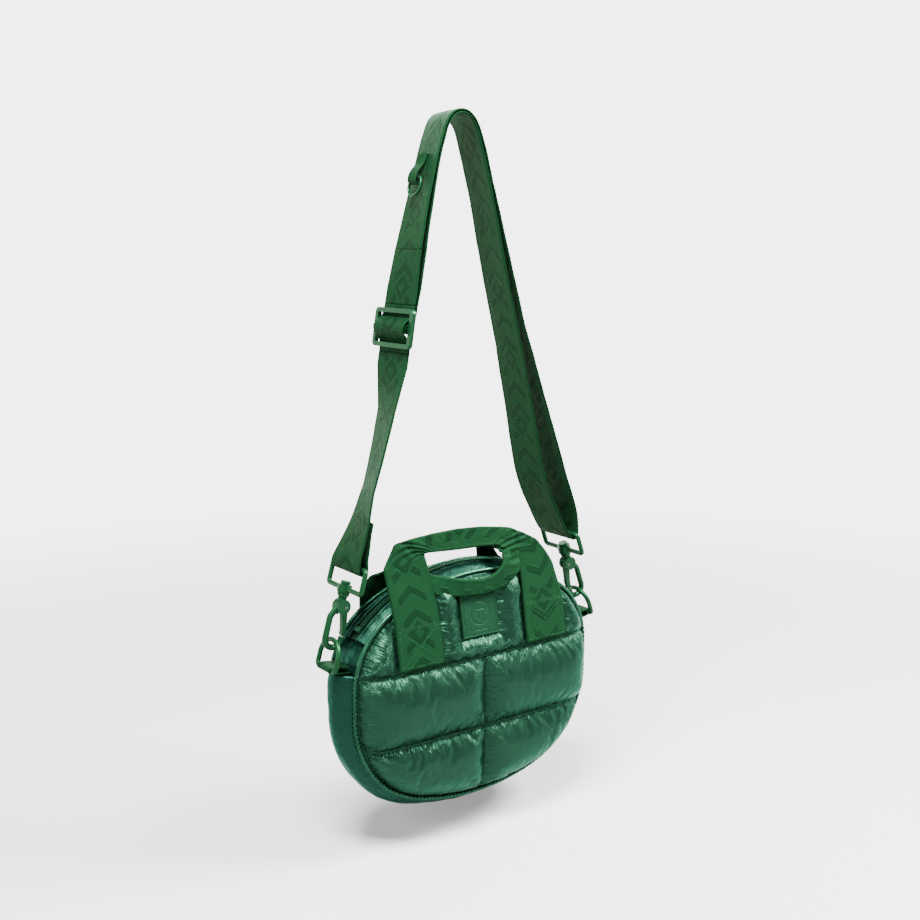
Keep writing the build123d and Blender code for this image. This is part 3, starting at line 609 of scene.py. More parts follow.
def pucker(shape, under, seams, seed):
    """Small gathers that run away from each seam, and a shallow crease along it."""
    flat = shape[:, [0, 2]]
    gap, along = nearest(flat, seams)
    reach = 4.6 + 3.0 * noise(along / 9.0, 0.5, seed + 1)
    ridges = noise(along / 2.9, gap / 16.0, seed + 2) + 0.45 * noise(along / 1.8, gap / 9.0, seed + 3)
    height = 1.1 * ridges * np.exp(-gap / np.maximum(reach, 1.8)) * (1 - np.exp(-gap / 1.2))
    crease = -0.9 * np.exp(-gap / 1.6)
    shape = shape.copy()
    shape[:, 1] -= np.where(under, -0.1, height + crease)
    legs = (np.abs(np.abs(flat[:, 0]) - LEG_X) < WEB / 2 + 3) & (flat[:, 1] > BAND_Z)
    band = -(BAND_Y - (flat[:, 1] - BAND_Z) * math.tan(LEAN)) + 0.15
    shape[:, 1] = np.where(legs, np.maximum(shape[:, 1], band), shape[:, 1])
    return shape


def orient(made, sign):
    """Turn every face so that its normal has that sign along y."""
    work = bmesh.new()
    work.from_mesh(made.data)
    work.normal_update()
    wrong = [f for f in work.faces if f.normal.y * sign < 0]
    bmesh.ops.reverse_faces(work, faces=wrong)
    work.to_mesh(made.data)
    work.free()


def subdivide(made):
    modifier = made.modifiers.new("Subdivision", "SUBSURF")
    modifier.levels = modifier.render_levels = 1
    bpy.context.view_layer.objects.active = made
    bpy.ops.object.select_all(action="DESELECT")
    made.select_set(True)
    bpy.ops.object.modifier_apply(modifier=modifier.name)


# ======== gusset, piping, zip

def outwards(line, normals, y, offset):
    """Rows of points beside the outline, at y and moved out by offset."""
    y, offset = np.broadcast_arrays(y, offset)
    x, z = (line[:, k, None] + normals[:, k, None] * offset for k in (0, 1))
    return np.stack([x, y, z], -1).reshape(-1, 3)


def around(name, run, bulge, y, inner_count, shift, material):
    """A closed tube of fabric along a run of the outline: its outer face bulges, its inner face is level.
    shift(s, y, offset) adds to the profile's offsets."""
    line, normals, s = run
    inner = np.linspace(GUSSET_HALF, -GUSSET_HALF, inner_count)
    profile_y = np.concatenate([y, inner])
    offset = np.concatenate([bulge, np.full(inner_count, GUSSET_INNER)])
    offset = offset + shift(s[:, None], profile_y, offset)
    faces = grid_faces(len(line), len(profile_y), closed=True, caps=True)
    return add(name, outwards(line, normals, profile_y, offset), faces, material)


def boot():
    def shift(s, y, offset):
        edge = np.exp(-(GUSSET_HALF - np.abs(y)) / 2.6)
        gathers = 0.5 * edge * (noise(s / 2.7, y / 8, 11) + 0.4 * noise(s / 1.5, y / 5, 12))
        dents = 0.75 * noise(s / 24, y / 11, 13) + 0.3 * noise(s / 9, y / 6, 14)
        hem = -1.6 * np.exp(-np.minimum(s, s[-1] - s) / 2.2)
        return np.where(offset > 0, (gathers + dents + hem * (offset / 11)), 0) * np.clip(offset, 0, 4) / 4

    run = open_outline(lambda p: p[:, 1] < BOOT_TOP)
    y = np.linspace(-GUSSET_HALF, GUSSET_HALF, 45)
    bulge = 0.4 + 10.7 * (1 - np.abs(y / GUSSET_HALF) ** 2.3) ** 0.75
    made = around("lower_gusset_fabric", run, bulge, y, 7, shift, GUSSET)
    settle(made, "bag", ["lower_gusset", "lining"])


def boot_hems():
    """Bright thread over the join between the lower gusset and the end panels."""
    rows = []
    for side in (-1, 1):
        y = np.linspace(-13.2, 13.2, 30)
        bulge = 1.0 + 9.0 * (1 - np.abs(y / GUSSET_HALF) ** 2.3) ** 0.75
        line = np.stack([side * (HALF_WIDTH - 0.6 + bulge), y, np.full(30, BOOT_TOP - 2.4)], 1)
        rows.append((line, (side, 0, 0)))
    made = stitches("gusset_hem_stitches", rows, THREAD_LIGHT)
    return settle(made, "bag")


def end_panels():
    """The flat end pieces above the lower gusset, tucked in under the zip strips."""
    def shift(s, y, offset):
        gathers = 0.28 * noise(s / 2.4, y / 3, 21) + 0.25 * noise(s / 7, y / 7, 22)
        rising = s if side == 1 else s[-1] - s
        return np.where(offset > 0, gathers, 0) - 2.6 * np.clip((rising - 14) / 8, 0, 1)

    y = np.linspace(-GUSSET_HALF, GUSSET_HALF, 31)
    bulge = 0.2 + 1.3 * (1 - (y / GUSSET_HALF) ** 2)
    for name, side in (("right", 1), ("left", -1)):
        run = open_outline(lambda p: (p[:, 1] > BOOT_TOP + 0.2) & (p[:, 1] < 139.5) & (p[:, 0] * side > 0),
                           0.8)
        made = around(f"gusset_end_{name}", run, bulge, y, 5, shift, STRIP)
        settle(made, "bag", ["gusset_ends"] if side == 1 else [])


def cord(name, side, low, nodes):
    """The seam cord: glossy piping above the join, gathered binding below it."""
    keep = (lambda p: p[:, 1] < BOOT_TOP + 0.4) if low else (lambda p: p[:, 1] > BOOT_TOP - 0.4)
    line, normals, s = open_outline(keep, 0.5)
    angles = np.radians(np.arange(0, 360, 24))
    a = np.broadcast_to(angles, (len(line), len(angles)))
    t = s[:, None]
    if low:
        radius = 1.6 + 0.45 * np.sin(2 * math.pi * t / 3.3 + a) * (0.6 + 0.4 * noise(t / 11, 0.3, 31))
        radius = radius + 0.1 * noise(t / 1.7, a, 32)
    else:
        radius = 1.65 + 0.10 * noise(t / 5, a / 2, 33) + 0.05 * noise(t / 1.6, a, 34)
    points = outwards(line, normals, -SEAM_Y + radius * np.sin(a), 1.7 + radius * np.cos(a))
    faces = grid_faces(len(line), len(angles), closed=True, caps=True)
    made = add(name, on_side(points, side), faces, BINDING if low else TRIM)
    return settle(made, "bag", nodes)


def seam_skirt(name, side):
    """The seam allowance that closes the gap between a panel, its cord and the gusset."""
    loop, normals = outline(0.0, 1.0)
    loop, normals = np.concatenate([loop, loop[:1]]), np.concatenate([normals, normals[:1]])
    y, offset = np.transpose([(-17.0, -1.4), (-16.2, 0.6), (-15.0, 1.2), (-13.6, -0.4), (-12.6, -3.6)])
    offset = offset + 0.18 * noise(lengths(loop)[:, None] / 2.3, y, 41)
    points = outwards(loop, normals, y, offset)
    made = add(name, on_side(points, side), grid_faces(len(loop), len(y)), GUSSET)
    return settle(made, "bag")


def edge_stitches(name, side):
    """A line of thread just inside the seam, sunk in its crease."""
    loop, _ = outline(-2.0, 1.0)
    points = np.stack([loop[:, 0], np.full(len(loop), -18.9), loop[:, 1]], 1)
    points = np.concatenate([points, points[:1]])
    high = points[points[:, 2] > BOOT_TOP - 40]
    line = high[np.argsort(np.arctan2(high[:, 2] - 90, high[:, 0]))]
    rows = [(on_side(line, side), (0, -side, 0))]
    return settle(stitches(name, rows, THREAD, 2.3, (1.6, 0.45, 0.5)), "bag")


def quilt_stitches(name, side):
    lines = [np.stack([np.linspace(-half, half, 160), np.full(160, z)], 1)
             for z, half in ((QUILT_HIGH, 99.5), (QUILT_LOW, 96.0))]
    lines.append(np.stack([np.zeros(100), np.linspace(8, QUILT_HIGH, 100)], 1))
    rows = []
    for line in lines:
        gap, _ = nearest(line, seam_runs()[:1])
        points = np.stack([line[:, 0], -(seam_depth(line, gap) - 0.75), line[:, 1]], 1)
        rows.append((on_side(points, side), (0, -side, 0)))
    return settle(stitches(name, rows, THREAD, 2.8, (2.0, 0.5, 0.4)), "bag")


def zip_pair(names, profile, material, shift=None, mapped=False):
    """A closed (y, depth) profile run along the zip's circle at the back, and its mirror image in front.
    mapped gives both a UV map in millimetres."""
    count = int(2 * math.radians(ZIP_REACH) * ZIP_R) + 1
    angles = np.radians(np.linspace(-ZIP_REACH, ZIP_REACH, count))[:, None]
    profile = np.asarray(profile, float)
    y = np.broadcast_to(profile[:, 0], (count, len(profile)))
    radius = ZIP_R - np.broadcast_to(profile[:, 1], y.shape)
    if shift is not None:
        radius = radius + shift(angles * ZIP_R, y)
    points = np.stack([radius * np.sin(angles), y, ZIP_CENTRE + radius * np.cos(angles)], -1)
    points = points.reshape(-1, 3)
    uv = np.stack([y, np.broadcast_to(angles * ZIP_R, y.shape)], -1).reshape(-1, 2) if mapped else None
    faces = grid_faces(count, len(profile), closed=True, caps=True)
    piece, node = names
    for end, side in SIDES:
        made = add(piece.format(end), on_side(points, -side), faces, material, uv)
        settle(made, "bag", [node.format(end)])


def zip_strips():
    y = np.linspace(5.6, GUSSET_HALF + 0.4, 16)
    roll = np.radians(np.linspace(90, 270, 9))
    depth = 1.0 + 0.637 * (y - 5.5) - 0.55 * np.sin(math.pi * (y - 5.5) / 8.7)
    edge = [(5.6 - 0.9 * abs(math.cos(a)), 1.9 - 0.9 * math.sin(a)) for a in roll]
    profile = [(v, d + 1.5) for v, d in zip(y[::-1], depth[::-1])] + edge[::-1] + list(zip(y, depth))

    def shift(s, y):
        outer = np.exp(-(GUSSET_HALF + 0.4 - np.abs(y)) / 2.2)
        return (0.3 * outer * noise(s / 2.6, 0.5, 51) + 0.16 * noise(s / 12, y / 4, 52)
                + 0.1 * noise(s / 3.3, y / 2, 53))

    zip_pair(("zip_strip_{}_fabric", "zip_strip_{}"), profile, STRIP, shift)


def zip_tapes():
    profile = [(0.45, 2.8), (5.5, 2.8), (11.0, 6.3), (11.0, 6.9), (5.5, 3.5), (0.45, 3.5)]
    profile = resample(profile + profile[:1], 0.8)[:-1]
    zip_pair(("zip_tape_{}_cloth", "zip_tape_{}"), profile, TAPE, mapped=True)


def zip_coils():
    """Two rows of moulded teeth that interlock."""
    ball = bmesh.new()
    bmesh.ops.create_uvsphere(ball, u_segments=8, v_segments=5, radius=0.5)
    shape = np.array([v.co for v in ball.verts])
    polygons = []
    for face in ball.faces:                # put in order, because the sphere's own order changes each run
        corners = [v.index for v in face.verts]
        first = corners.index(min(corners))
        polygons.append(corners[first:] + corners[:first])
    polygons.sort()
    ball.free()
    pitch = 1.5
    reach = math.radians(43.0)
    for number, (name, sign) in enumerate((("front", -1), ("back", 1))):
        angles = np.arange(-reach, reach, pitch / ZIP_R) + number * pitch / 2 / ZIP_R
        points, faces = [], []
        for angle in angles:
            tooth = shape * (0.95, 2.3, 2.0) + (0, sign * 1.42, 0)
            radius = ZIP_R - 1.55 + tooth[:, 2]
            x = radius * math.sin(angle) + tooth[:, 0] * math.cos(angle)
            z = ZIP_CENTRE + radius * math.cos(angle) - tooth[:, 0] * math.sin(angle)
            faces += [[i + len(points) * len(shape) for i in polygon] for polygon in polygons]
            points.append(np.stack([x, tooth[:, 1], z], 1))
        made = add(f"zip_teeth_{name}", np.concatenate(points), faces, COIL)
        settle(made, "bag", [f"zip_coil_{name}"])


def zip_stitches():
    rows = []
    angles = np.radians(np.linspace(-46, 46, 240))
    for y, depth in ((7.4, 1.35), (3.6, 2.72)):
        radius = ZIP_R - depth
        for side in (-1, 1):
            normals = np.stack([np.sin(angles), 0 * angles, np.cos(angles)], 1)
            rows.append((radius * normals + (0, side * y, ZIP_CENTRE), normals))
    return settle(stitches("zip_topstitching", rows, THREAD, 2.4, (1.7, 0.42, 0.32)), "bag")


# ======== webbing

def web(name, inner, outer, thick, lift=None, cols=22, start=0.0):
    """A band of webbing between two edge lines, thick as given, rounded at its edges."""
    inner, outer = np.asarray(inner, float), np.asarray(outer, float)
    thick = np.broadcast_to(np.asarray(thick, float), (len(inner),))[:, None]
    middle = (inner + outer) / 2
    along = unit(np.gradient(middle, axis=0))
    width = np.linalg.norm(outer - inner, axis=1)[:, None]
    across = (outer - inner) / width
    normal = unit(np.cross(across, along))
    share = (1 - np.cos(np.linspace(0, math.pi, cols))) / 2
    share = 0.35 * share + 0.65 * np.linspace(0, 1, cols)
    share = np.broadcast_to(share, (len(inner), cols))
    inset = np.minimum(share, 1 - share) * width
    rim = np.minimum(thick * 0.6, 1.1)
    round_off = np.sqrt(1 - (1 - np.clip(inset / rim, 0, 1)) ** 2)
    half = thick / 2 * round_off
    u = share * width
    v = np.broadcast_to((lengths(middle) + start)[:, None], u.shape)
    lifted = 0 if lift is None else lift(u, v, width)
    base = inner[:, None] + (outer - inner)[:, None] * share[..., None]
    top = base + normal[:, None] * (lifted + half)[..., None]
    low = base + normal[:, None] * (lifted - half)[..., None]
    points = np.concatenate([top, low[:, -2:0:-1]], 1)
    uv = np.concatenate([np.stack([u, v], -1), np.stack([u, v], -1)[:, -2:0:-1]], 1)
    faces = grid_faces(len(inner), points.shape[1], closed=True, caps=True)
    return add(name, points.reshape(-1, 3), faces, WEBBING, uv.reshape(-1, 2))


def twist(x, z):
    """How far the front edge of the hanging strap leads its rear edge towards -x."""
    left = np.interp(z, [190, 212, 240, 292, 322, 374, 402, 450, 480, 493], [0, 9, 15, 11, 0, 0, 4, 8, 9, 8])
    right = np.interp(z, [188, 240, 330, 420, 480, 493], [0, 1, 5, 7, 8, 8])
    share = np.clip((x + 10) / 16 + 0.5, 0, 1)
    return left * (1 - share) + right * share


def strap_edges(route, step):
    line = curve(route, step)
    x, z = line[:, 0], line[:, 1]
    lead = twist(x, z) / 2
    front = np.stack([x - lead, np.full(len(x), -WEB / 2), z], 1)
    rear = np.stack([x + lead, np.full(len(x), WEB / 2), z], 1)
    return front, rear


STRAP_ROUTE = [(-46.4, 400), (-44.8, 407), (-38.4, 432), (-33, 452), (-28.2, 470),
               (-19.6, 492.8), (-0.4, 492.8), (9.8, 468), (16.9, 441), (27, 404), (37, 369),
               (47, 337), (56.8, 309), (65.9, 282), (74.6, 256), (82.6, 232), (90.2, 213),
               (94, 200), (94.8, 183), (88.4, 183), (78, 200), (64.5, 226), (56.6, 255),
               (51.2, 283), (45.4, 310), (39, 337), (30, 372), (22.6, 405), (14.2, 440),
               (7.2, 467), (-1.6, 490.8), (-18.4, 490.8), (-25.8, 469), (-30.6, 451),
               (-35.8, 431), (-42.1, 399.4)]
LOWER_ROUTE = [(-83.2, 219), (-88.6, 203), (-93, 192), (-93, 184.2), (-99.4, 184.2),
               (-99.4, 191), (-93, 204), (-86.4, 219), (-77.4, 248), (-69.2, 276),
               (-65.4, 291)]


def beside(place, out, up):
    """A point beside a leaning strap: out from the bag's middle, up along the strap."""
    x, z, tilt = place
    return (x - out * math.cos(tilt) + up * math.sin(tilt), z + out * math.sin(tilt) + up * math.cos(tilt))


def waves(seed):
    """Shallow waves that die away at both ends, so that the strap's pieces meet."""
    def lift(u, v, width):
        ends = np.clip(np.minimum(v - v.min(), v.max() - v) / 25, 0, 1)
        return (0.35 * noise(v / 26, u / 22, seed) + 0.12 * noise(v / 7, u / 9, seed + 1)) * ends
    return lift


def hang(name, route, step, thick, body, nodes, **shape):
    front, rear = strap_edges(route, step)
    return settle(web(name, front, rear, thick, **shape), body, nodes)


def strap():
    hang("strap_main_webbing", STRAP_ROUTE, 2.0, 1.55, "strap", ["strap_main", "strap_return"],
         lift=waves(61))
    hang("strap_lower_webbing", LOWER_ROUTE, 1.2, 1.5, "strap", ["strap_lower"], lift=waves(63), start=7)
    behind = -2.6                      # the webbing's middle behind the adjuster's, out from the bag
    back_layer = behind - 2.1
    reach = 16.0
    pieces = (("strap_tail_upper", (behind, reach), (-46.4, 400.2)),
              ("strap_tail_lower", (behind, -reach), (-65.4, 290.8)),
              ("strap_tail_return", (back_layer, reach), (-41.8, 400.6)))
    for name, (out, up), end in pieces:
        start = beside(ADJUSTER, out, up)
        front, rear = strap_edges([start, tuple((np.array(start) + end) / 2), end], 1.5)
        made = web(f"{name}_webbing", front, rear, 1.5, start=13)
        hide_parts(name)
        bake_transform(made)
    bow = [(behind, -reach), (behind, -8.4), (2.4, -5.0), (4.7, -1.6), (4.7, 1.6), (2.4, 5.0),
           (behind, 8.4), (behind, reach)]
    hang("strap_fold_webbing", [beside(ADJUSTER, *p) for p in bow], 0.8, 1.5, "adjuster", ["strap_fold"],
         start=3)
    loop = [(back_layer, reach), (back_layer, 9.0), (-2.7, 3.4), (-2.7, -2.7), (2.7, -2.7), (2.7, 2.7),
            (-0.6, 2.7)]
    hang("strap_return_webbing", [beside(ADJUSTER, *p) for p in loop], 0.6, 1.4, "adjuster",
         ["strap_return_end"])


def narrow(name, route, width, thick, body, nodes, side=1):
    """A short level band that follows its route, mirrored to the left if side is -1."""
    line = curve(route, 0.7)
    inner, outer = (np.stack([side * line[:, 0], np.full(len(line), y), line[:, 1]], 1)
                    for y in (-width / 2, width / 2))
    settle(web(name, inner, outer, thick, cols=14, start=5), body, nodes)


def small_tabs():
    inner, outer, low, top = 1.8, 8.0, -7.7, 14.0
    doubled = inner + 1.4
    route = [(inner, top), (inner, low), (outer, low), (outer, 0.0), (doubled, 7.0), (doubled, top)]
    narrow("key_tab_webbing", [beside(KEY, *p) for p in route], 10.0, 1.1, "strap", ["key_tab"])
    x, low, high = 118.7, 115.7, 122.3     # outside the bar of the side ring, below and above it
    route = [(HALF_WIDTH + 0.4, BOOT_TOP + 1.3), (x, low), (x, high), (HALF_WIDTH + 0.6, BOOT_TOP + 5.0)]
    for side, name in ((1, "right"), (-1, "left")):
        narrow(f"side_tab_{name}_webbing", route, 17.0, 1.3, "bag", [f"side_tab_{name}"], side)


def tab_stitches():
    rows = []
    for up in (8.6, 12.8):
        x, z = beside(KEY, 3.95, up)
        rows.append((np.array([(x, -4, z), (x, 4, z)]), (-math.cos(KEY[2]), 0, math.sin(KEY[2]))))
    settle(stitches("key_tab_stitches", rows, THREAD_LIGHT, 1.6, (1.2, 0.4, 0.4)), "strap")
    rows = []
    front, rear = strap_edges(LOWER_ROUTE, 1.2)
    middle = (front + rear) / 2
    for z in (207.5, 215.0):
        upper = len(middle) // 2 + int(np.abs(middle[len(middle) // 2:, 2] - z).argmin())
        a, b = front[upper], rear[upper]
        normal = unit(np.cross(b - a, middle[upper + 1] - middle[upper]))
        normal = -normal if normal[0] > 0 else normal
        rows.append((np.array([a + (b - a) * 0.08, a + (b - a) * 0.92]) + normal * 0.95, normal))
    settle(stitches("strap_end_stitches", rows, THREAD_LIGHT, 2.4), "strap")


# ======== handles

def folded(stations, step):
    """Stations (inner x, y, z, outer x, y, z, thickness) joined with slightly softened creases."""
    line = resample(stations, step, by=[0, 1, 2, 3, 4, 5])
    padded = np.concatenate([line[:1]] * 2 + [line] + [line[-1:]] * 2)
    weights = (1, 2, 3, 2, 1)
    soft = sum(w * padded[i:i + len(line)] for i, w in enumerate(weights)) / sum(weights)
    soft[0], soft[-1] = line[0], line[-1]
    return soft


def handle_lift(first, last):
    """Gathers along the folded grip and ridges over each corner fold, that far from the two ends."""
    def lift(u, v, width):
        total = v.max()
        height = 0.25 * noise(v / 17, u / 15, 72) * np.clip((np.minimum(v, total - v) - 30) / 15, 0, 1)
        for end, bend in ((v, first), (total - v, last)):
            corner = np.exp(-((end - bend) / 9.0) ** 2)
            height = height + 0.6 * corner * np.sin(2 * math.pi * (end - bend + 0.55 * u) / 6.0)
        grip = np.clip(np.minimum(v - first - 4, total - v - last - 4) / 10, 0, 1)
        return height + 0.4 * grip * noise(v / 3.4, u / 6, 71) * np.clip(u / width, 0.15, 1)
    return lift


def front_handle():
    """One band: up the left leg, folded at the corner into the grip, and down the right leg.
    Its plan says (inner x, up, outer x, up, thickness, out) on the upper band."""
    plan = [(-37, 1, -75, 1, 1.7, 1.3), (-37, 31, -75, 31, 1.7, 1.3), (-39.5, 50, -76.5, 50, 1.7, 1.3),
            (-42.5, 70, -78.6, 67, 1.8, 1.3), (-43.8, 77, -79.2, 73, 2.2, 1.2),
            (-43.8, 78.6, -73.5, 81.5, 2.8, 0.9), (-43, 79.2, -67, 89.4, 3.4, 0.6),
            (-37, 79, -52, 91.2, 4, 0.3), (-28, 78.4, -34, 92.4, 4.2, 0.3),
            (-13, 77.6, -13, 92.8, 4.2, 0.3), (4, 77, 8, 91.6, 4.2, 0.3),
            (19, 76, 32.6, 87.8, 3.8, 0.4), (27, 70, 46, 81.6, 3, 0.8),
            (35.4, 62, 56.6, 75.6, 2.4, 1.1), (36.4, 55, 64, 66, 2, 1.2),
            (37, 48, 69, 57, 1.8, 1.3), (37, 37, 72.5, 42, 1.7, 1.3),
            (37, 31, 75, 31, 1.7, 1.3), (37, 1, 75, 1, 1.7, 1.3)]
    stations = np.array([np.concatenate([on_band(a, b, out), on_band(c, d, out), [thick]])
                         for a, b, c, d, thick, out in plan])
    line = folded(stations, 1.3)
    made = web("front_handle_webbing", line[:, :3], line[:, 3:6], line[:, 6], handle_lift(86, 84), cols=26)
    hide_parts("front_handle", "front_handle_base_left", "front_handle_base_right")
    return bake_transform(made)


def rear_handle():
    """One band: up the back, over the zip, along the front behind the left leg, and back over the zip."""
    def back(x, up, out=1.3):
        return tuple(flip(on_band(x, up, out)))

    pairs = [(back(-37, 1), back(-75, 1), 1.7), (back(-37, 31), back(-75, 31), 1.7),
             (back(-38.5, 44), back(-76.5, 45), 1.7), (back(-40, 55), back(-70, 59), 1.9),
             ((-41, 15.5, 174.5), (-60, 15.5, 173.5), 2.2), ((-41, 8, 178.5), (-57, 8, 175.5), 2.2),
             ((-41, -4, 179), (-56.5, -4, 176), 2.2), ((-40.5, -11.5, 177.5), (-56, -11.5, 174), 2.2),
             ((-39, -13.8, 175.5), (-53, -14.2, 166.5), 2.4), ((-34, -15.6, 174), (-44, -16.2, 161.6), 2.8),
             ((-27, -19.6, 172.4), (-32, -20.6, 159.4), 3), ((-16, -23, 170), (-18, -23.6, 157.8), 3.2),
             ((0, -24, 168), (0, -24.6, 156.6), 3.2), ((9, -24.2, 169.6), (14, -24.6, 158.4), 3.2),
             ((16, -24, 174), (27, -24.4, 163.6), 3), ((19.6, -23, 179.6), (34, -23.4, 169.6), 2.6),
             ((20.2, -19, 184.2), (36.4, -19, 178.4), 2.3), ((20, -10, 186.4), (36.6, -9, 183), 2.2),
             ((20, 3, 185.8), (36.6, 3, 182.6), 2.2), ((21, 13, 180.6), (38, 13, 177.6), 2.2),
             (back(26, 58), back(47, 57), 2), (back(33, 46), back(66, 46), 1.8),
             (back(37, 31), back(75, 31), 1.7), (back(37, 1), back(75, 1), 1.7)]
    line = folded(np.array([np.concatenate([a, b, [t]]) for a, b, t in pairs]), 1.2)
    made = web("rear_handle_webbing", line[:, :3], line[:, 3:6], line[:, 6], handle_lift(104, 110),
               cols=24, start=20)
    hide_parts("rear_handle", "rear_handle_base_left", "rear_handle_base_right")
    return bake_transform(made)


def base_stitches():
    """A box and cross of thread on each sewn handle end."""
    for name, side in SIDES:
        rows = []
        normal = (0, -side * math.cos(LEAN), math.sin(LEAN))
        for x in (-LEG_X, LEG_X):
            a, b, c, d = x - 16.4, x + 16.4, 3.0, 29.0
            for points in ([(a, c), (b, c), (b, d), (a, d), (a, c)], [(a, c), (b, d)], [(a, d), (b, c)],
                           [(a, d + 1.3), (b, d + 1.3)]):
                line = on_side(np.array([on_band(px, up, 2.22) for px, up in points]), side)
                rows += [(np.array(pair), normal) for pair in zip(line[:-1], line[1:])]
        made = stitches(f"{name}_handle_stitches", rows, THREAD_LIGHT, 2.3, (1.7, 0.45, 0.36))
        settle(made, "bag")


def patch():
    """A leather patch with a pressed ring and triangle, and a sewn edge."""
    n = 97
    t = np.linspace(-PATCH / 2, PATCH / 2, n)
    x, up = np.meshgrid(t, t)
    edge = np.minimum(PATCH / 2 - np.abs(x), PATCH / 2 - np.abs(up))
    r = np.hypot(x, up - 1)
    ring = np.exp(-((r - 8.2) / 0.55) ** 2)
    angle = np.arctan2(up - 1, x) - math.pi / 2
    sector = np.mod(angle + math.pi / 3, 2 * math.pi / 3) - math.pi / 3
    triangle = np.exp(-((r * np.cos(sector) - 2.6) / 0.4) ** 2) * (r < 6)
    bar = np.exp(-((up + 11.0) / 0.4) ** 2) * (np.abs(x) < 6)
    groove = np.exp(-((edge - 2.1) / 0.5) ** 2)
    height = 1.95 - 0.32 * (ring + triangle + bar) - 0.22 * groove + 0.05 * noise(x / 1.3, up / 1.3, 81)
    height -= 0.7 * np.clip(1 - edge / 0.8, 0, 1) ** 2
    top = on_band(PATCH_X + x, PATCH_UP + up, height).reshape(-1, 3)
    low = on_band(PATCH_X + x, PATCH_UP + up, 0.2).reshape(-1, 3)
    faces = grid_faces(n, n)
    border = [*range(n), *range(2 * n - 1, n * n, n), *range(n * n - 2, n * n - n - 1, -1),
              *range(n * n - 2 * n, 0, -n)]
    faces += [[a, b, b + n * n, a + n * n] for a, b in zip(border, border[1:] + border[:1])]
    made = add("leather_patch_piece", np.concatenate([top, low]), faces, LEATHER)
    settle(made, "bag", ["leather_patch"])
    h = PATCH / 2 - 2.1
    corners = [(-h, -h), (h, -h), (h, h), (-h, h), (-h, -h)]
    line = np.array([on_band(PATCH_X + a, PATCH_UP + b, 1.85) for a, b in corners])
    rows = [(np.array(pair), (0, -math.cos(LEAN), math.sin(LEAN))) for pair in zip(line[:-1], line[1:])]
    settle(stitches("patch_stitches", rows, THREAD, 2.2, (1.5, 0.45, 0.4)), "bag")


# ======== hard pieces

def hard_pieces():
    """The metal keeps its CAD shape and takes paint or steel."""
    coats = {"gate_pin": STEEL, "gate_spring": STEEL, "zip_stops": COIL}
    painted = ("hook_body", "hook_eye", "hook_gate", "side_ring", "adjuster_frame", "key_ring", "zip_slider",
               "zip_pull")
    coats.update((word, PAINT) for word in painted)
    for name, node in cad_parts.items():
        for word, material in coats.items():
            if word in name:
                node.data.materials.clear()
                node.data.materials.append(material)


# ======== studio

def camera():
    data = bpy.data.cameras.new("camera")
    data.lens, data.sensor_width = 48.9, 36.0
    made = link("camera", data)
    made.location = (-0.5119, -0.7143, -0.0802)
    azimuth, pitch = math.radians(36.0), math.radians(10.19)
    level = math.cos(pitch)
    look = Vector((math.sin(azimuth) * level, math.cos(azimuth) * level, -math.sin(pitch)))
    made.rotation_euler = look.to_track_quat("-Z", "Y").to_euler()
    bpy.context.scene.camera = made


def lamp(name, place, aim, size, power):
    data = bpy.data.lights.new(name, "AREA")
    data.shape = "RECTANGLE"
    data.size, data.size_y = size
    data.energy = power
    made = link(name, data)
    made.location = place
    made.rotation_euler = (Vector(aim) - Vector(place)).to_track_quat("-Z", "Y").to_euler()


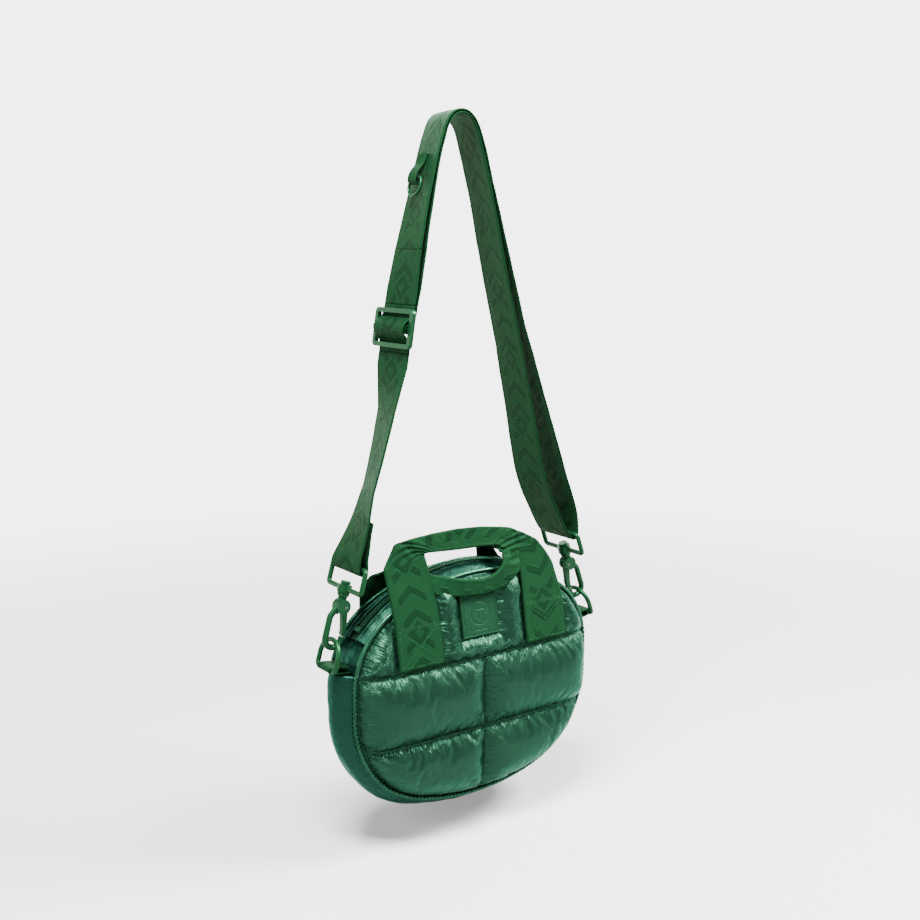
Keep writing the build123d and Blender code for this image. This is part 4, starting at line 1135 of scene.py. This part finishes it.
def studio():
    aim = (0.0, 0.0, -0.36)
    lamp("overhead", (-0.42, -0.34, 0.85), aim, (0.55, 0.4), 150.0)
    lamp("right_top", (0.72, -0.48, 0.52), aim, (0.45, 0.45), 120.0)
    lamp("left_key", (-1.15, -0.45, 0.30), aim, (0.3, 0.6), 22.0)
    lamp("back_rim", (0.5, 1.0, 0.4), aim, (0.8, 0.5), 16.0)
    data = bpy.data.meshes.new("floor")
    turn = [2 * math.pi * i / 96 for i in range(96)]
    data.from_pydata([(9 * math.cos(a), 9 * math.sin(a), FLOOR_Z) for a in turn], [], [list(range(96))])
    floor = link("floor", data)
    data.materials.append(paper())
    sky()


def paper():
    """Matte paper that turns into a white glow far behind the bag."""
    made = bpy.data.materials.new("studio_paper")
    tree = Tree(made)
    matte = tree.nodes["Principled BSDF"]
    matte.inputs["Base Color"].default_value = (0.34, 0.34, 0.34, 1)
    matte.inputs["Roughness"].default_value = 0.8
    glow = tree.feed(tree.nodes.new("ShaderNodeEmission"), (1, 1, 1, 1), WHITE)
    far = tree.nodes.new("ShaderNodeVectorMath")
    far.operation = "LENGTH"
    tree.feed(far, tree.place("Object"))
    fade = tree.ramp(far.outputs["Value"], 0.55, 1.3)
    share = tree.math("MULTIPLY", fade, tree.behind("Object", -0.5, 0.2, 0.2))
    mix = tree.feed(tree.nodes.new("ShaderNodeMixShader"), share, matte.outputs[0], glow.outputs[0])
    tree.plug(tree.nodes["Material Output"].inputs["Surface"], mix.outputs[0])
    return made


def sky():
    """White behind the bag at the horizon, dimmer elsewhere, so that the cloth keeps its contrast."""
    world = bpy.data.worlds.new("studio_world")
    bpy.context.scene.world = world
    tree = Tree(world)
    height = tree.ramp(tree.split("Generated")[2], 0.2, 0.45, WHITE, 0.2, smooth=False)
    wall = tree.behind("Generated", -0.3, 0.35, 0.28)
    tree.feed(tree.nodes["Background"], (1, 1, 1, 1), tree.math("MULTIPLY", height, wall))


# ======== the scene

camera()
studio()
for (name, side), seed in zip(SIDES, (100, 200)):
    panel(f"{name}_panel_padded", side, seed, [f"{name}_panel", f"{name}_filling"])
    cord(f"{name}_piping_cord", side, False, [f"{name}_piping"])
    cord(f"{name}_binding_cord", side, True, [f"{name}_binding"])
    seam_skirt(f"{name}_seam_allowance", side)
    edge_stitches(f"{name}_edge_stitches", side)
    quilt_stitches(f"{name}_quilt_stitches", side)
boot()
boot_hems()
end_panels()
zip_strips()
zip_tapes()
zip_coils()
zip_stitches()
strap()
small_tabs()
tab_stitches()
front_handle()
rear_handle()
base_stitches()
patch()
hard_pieces()
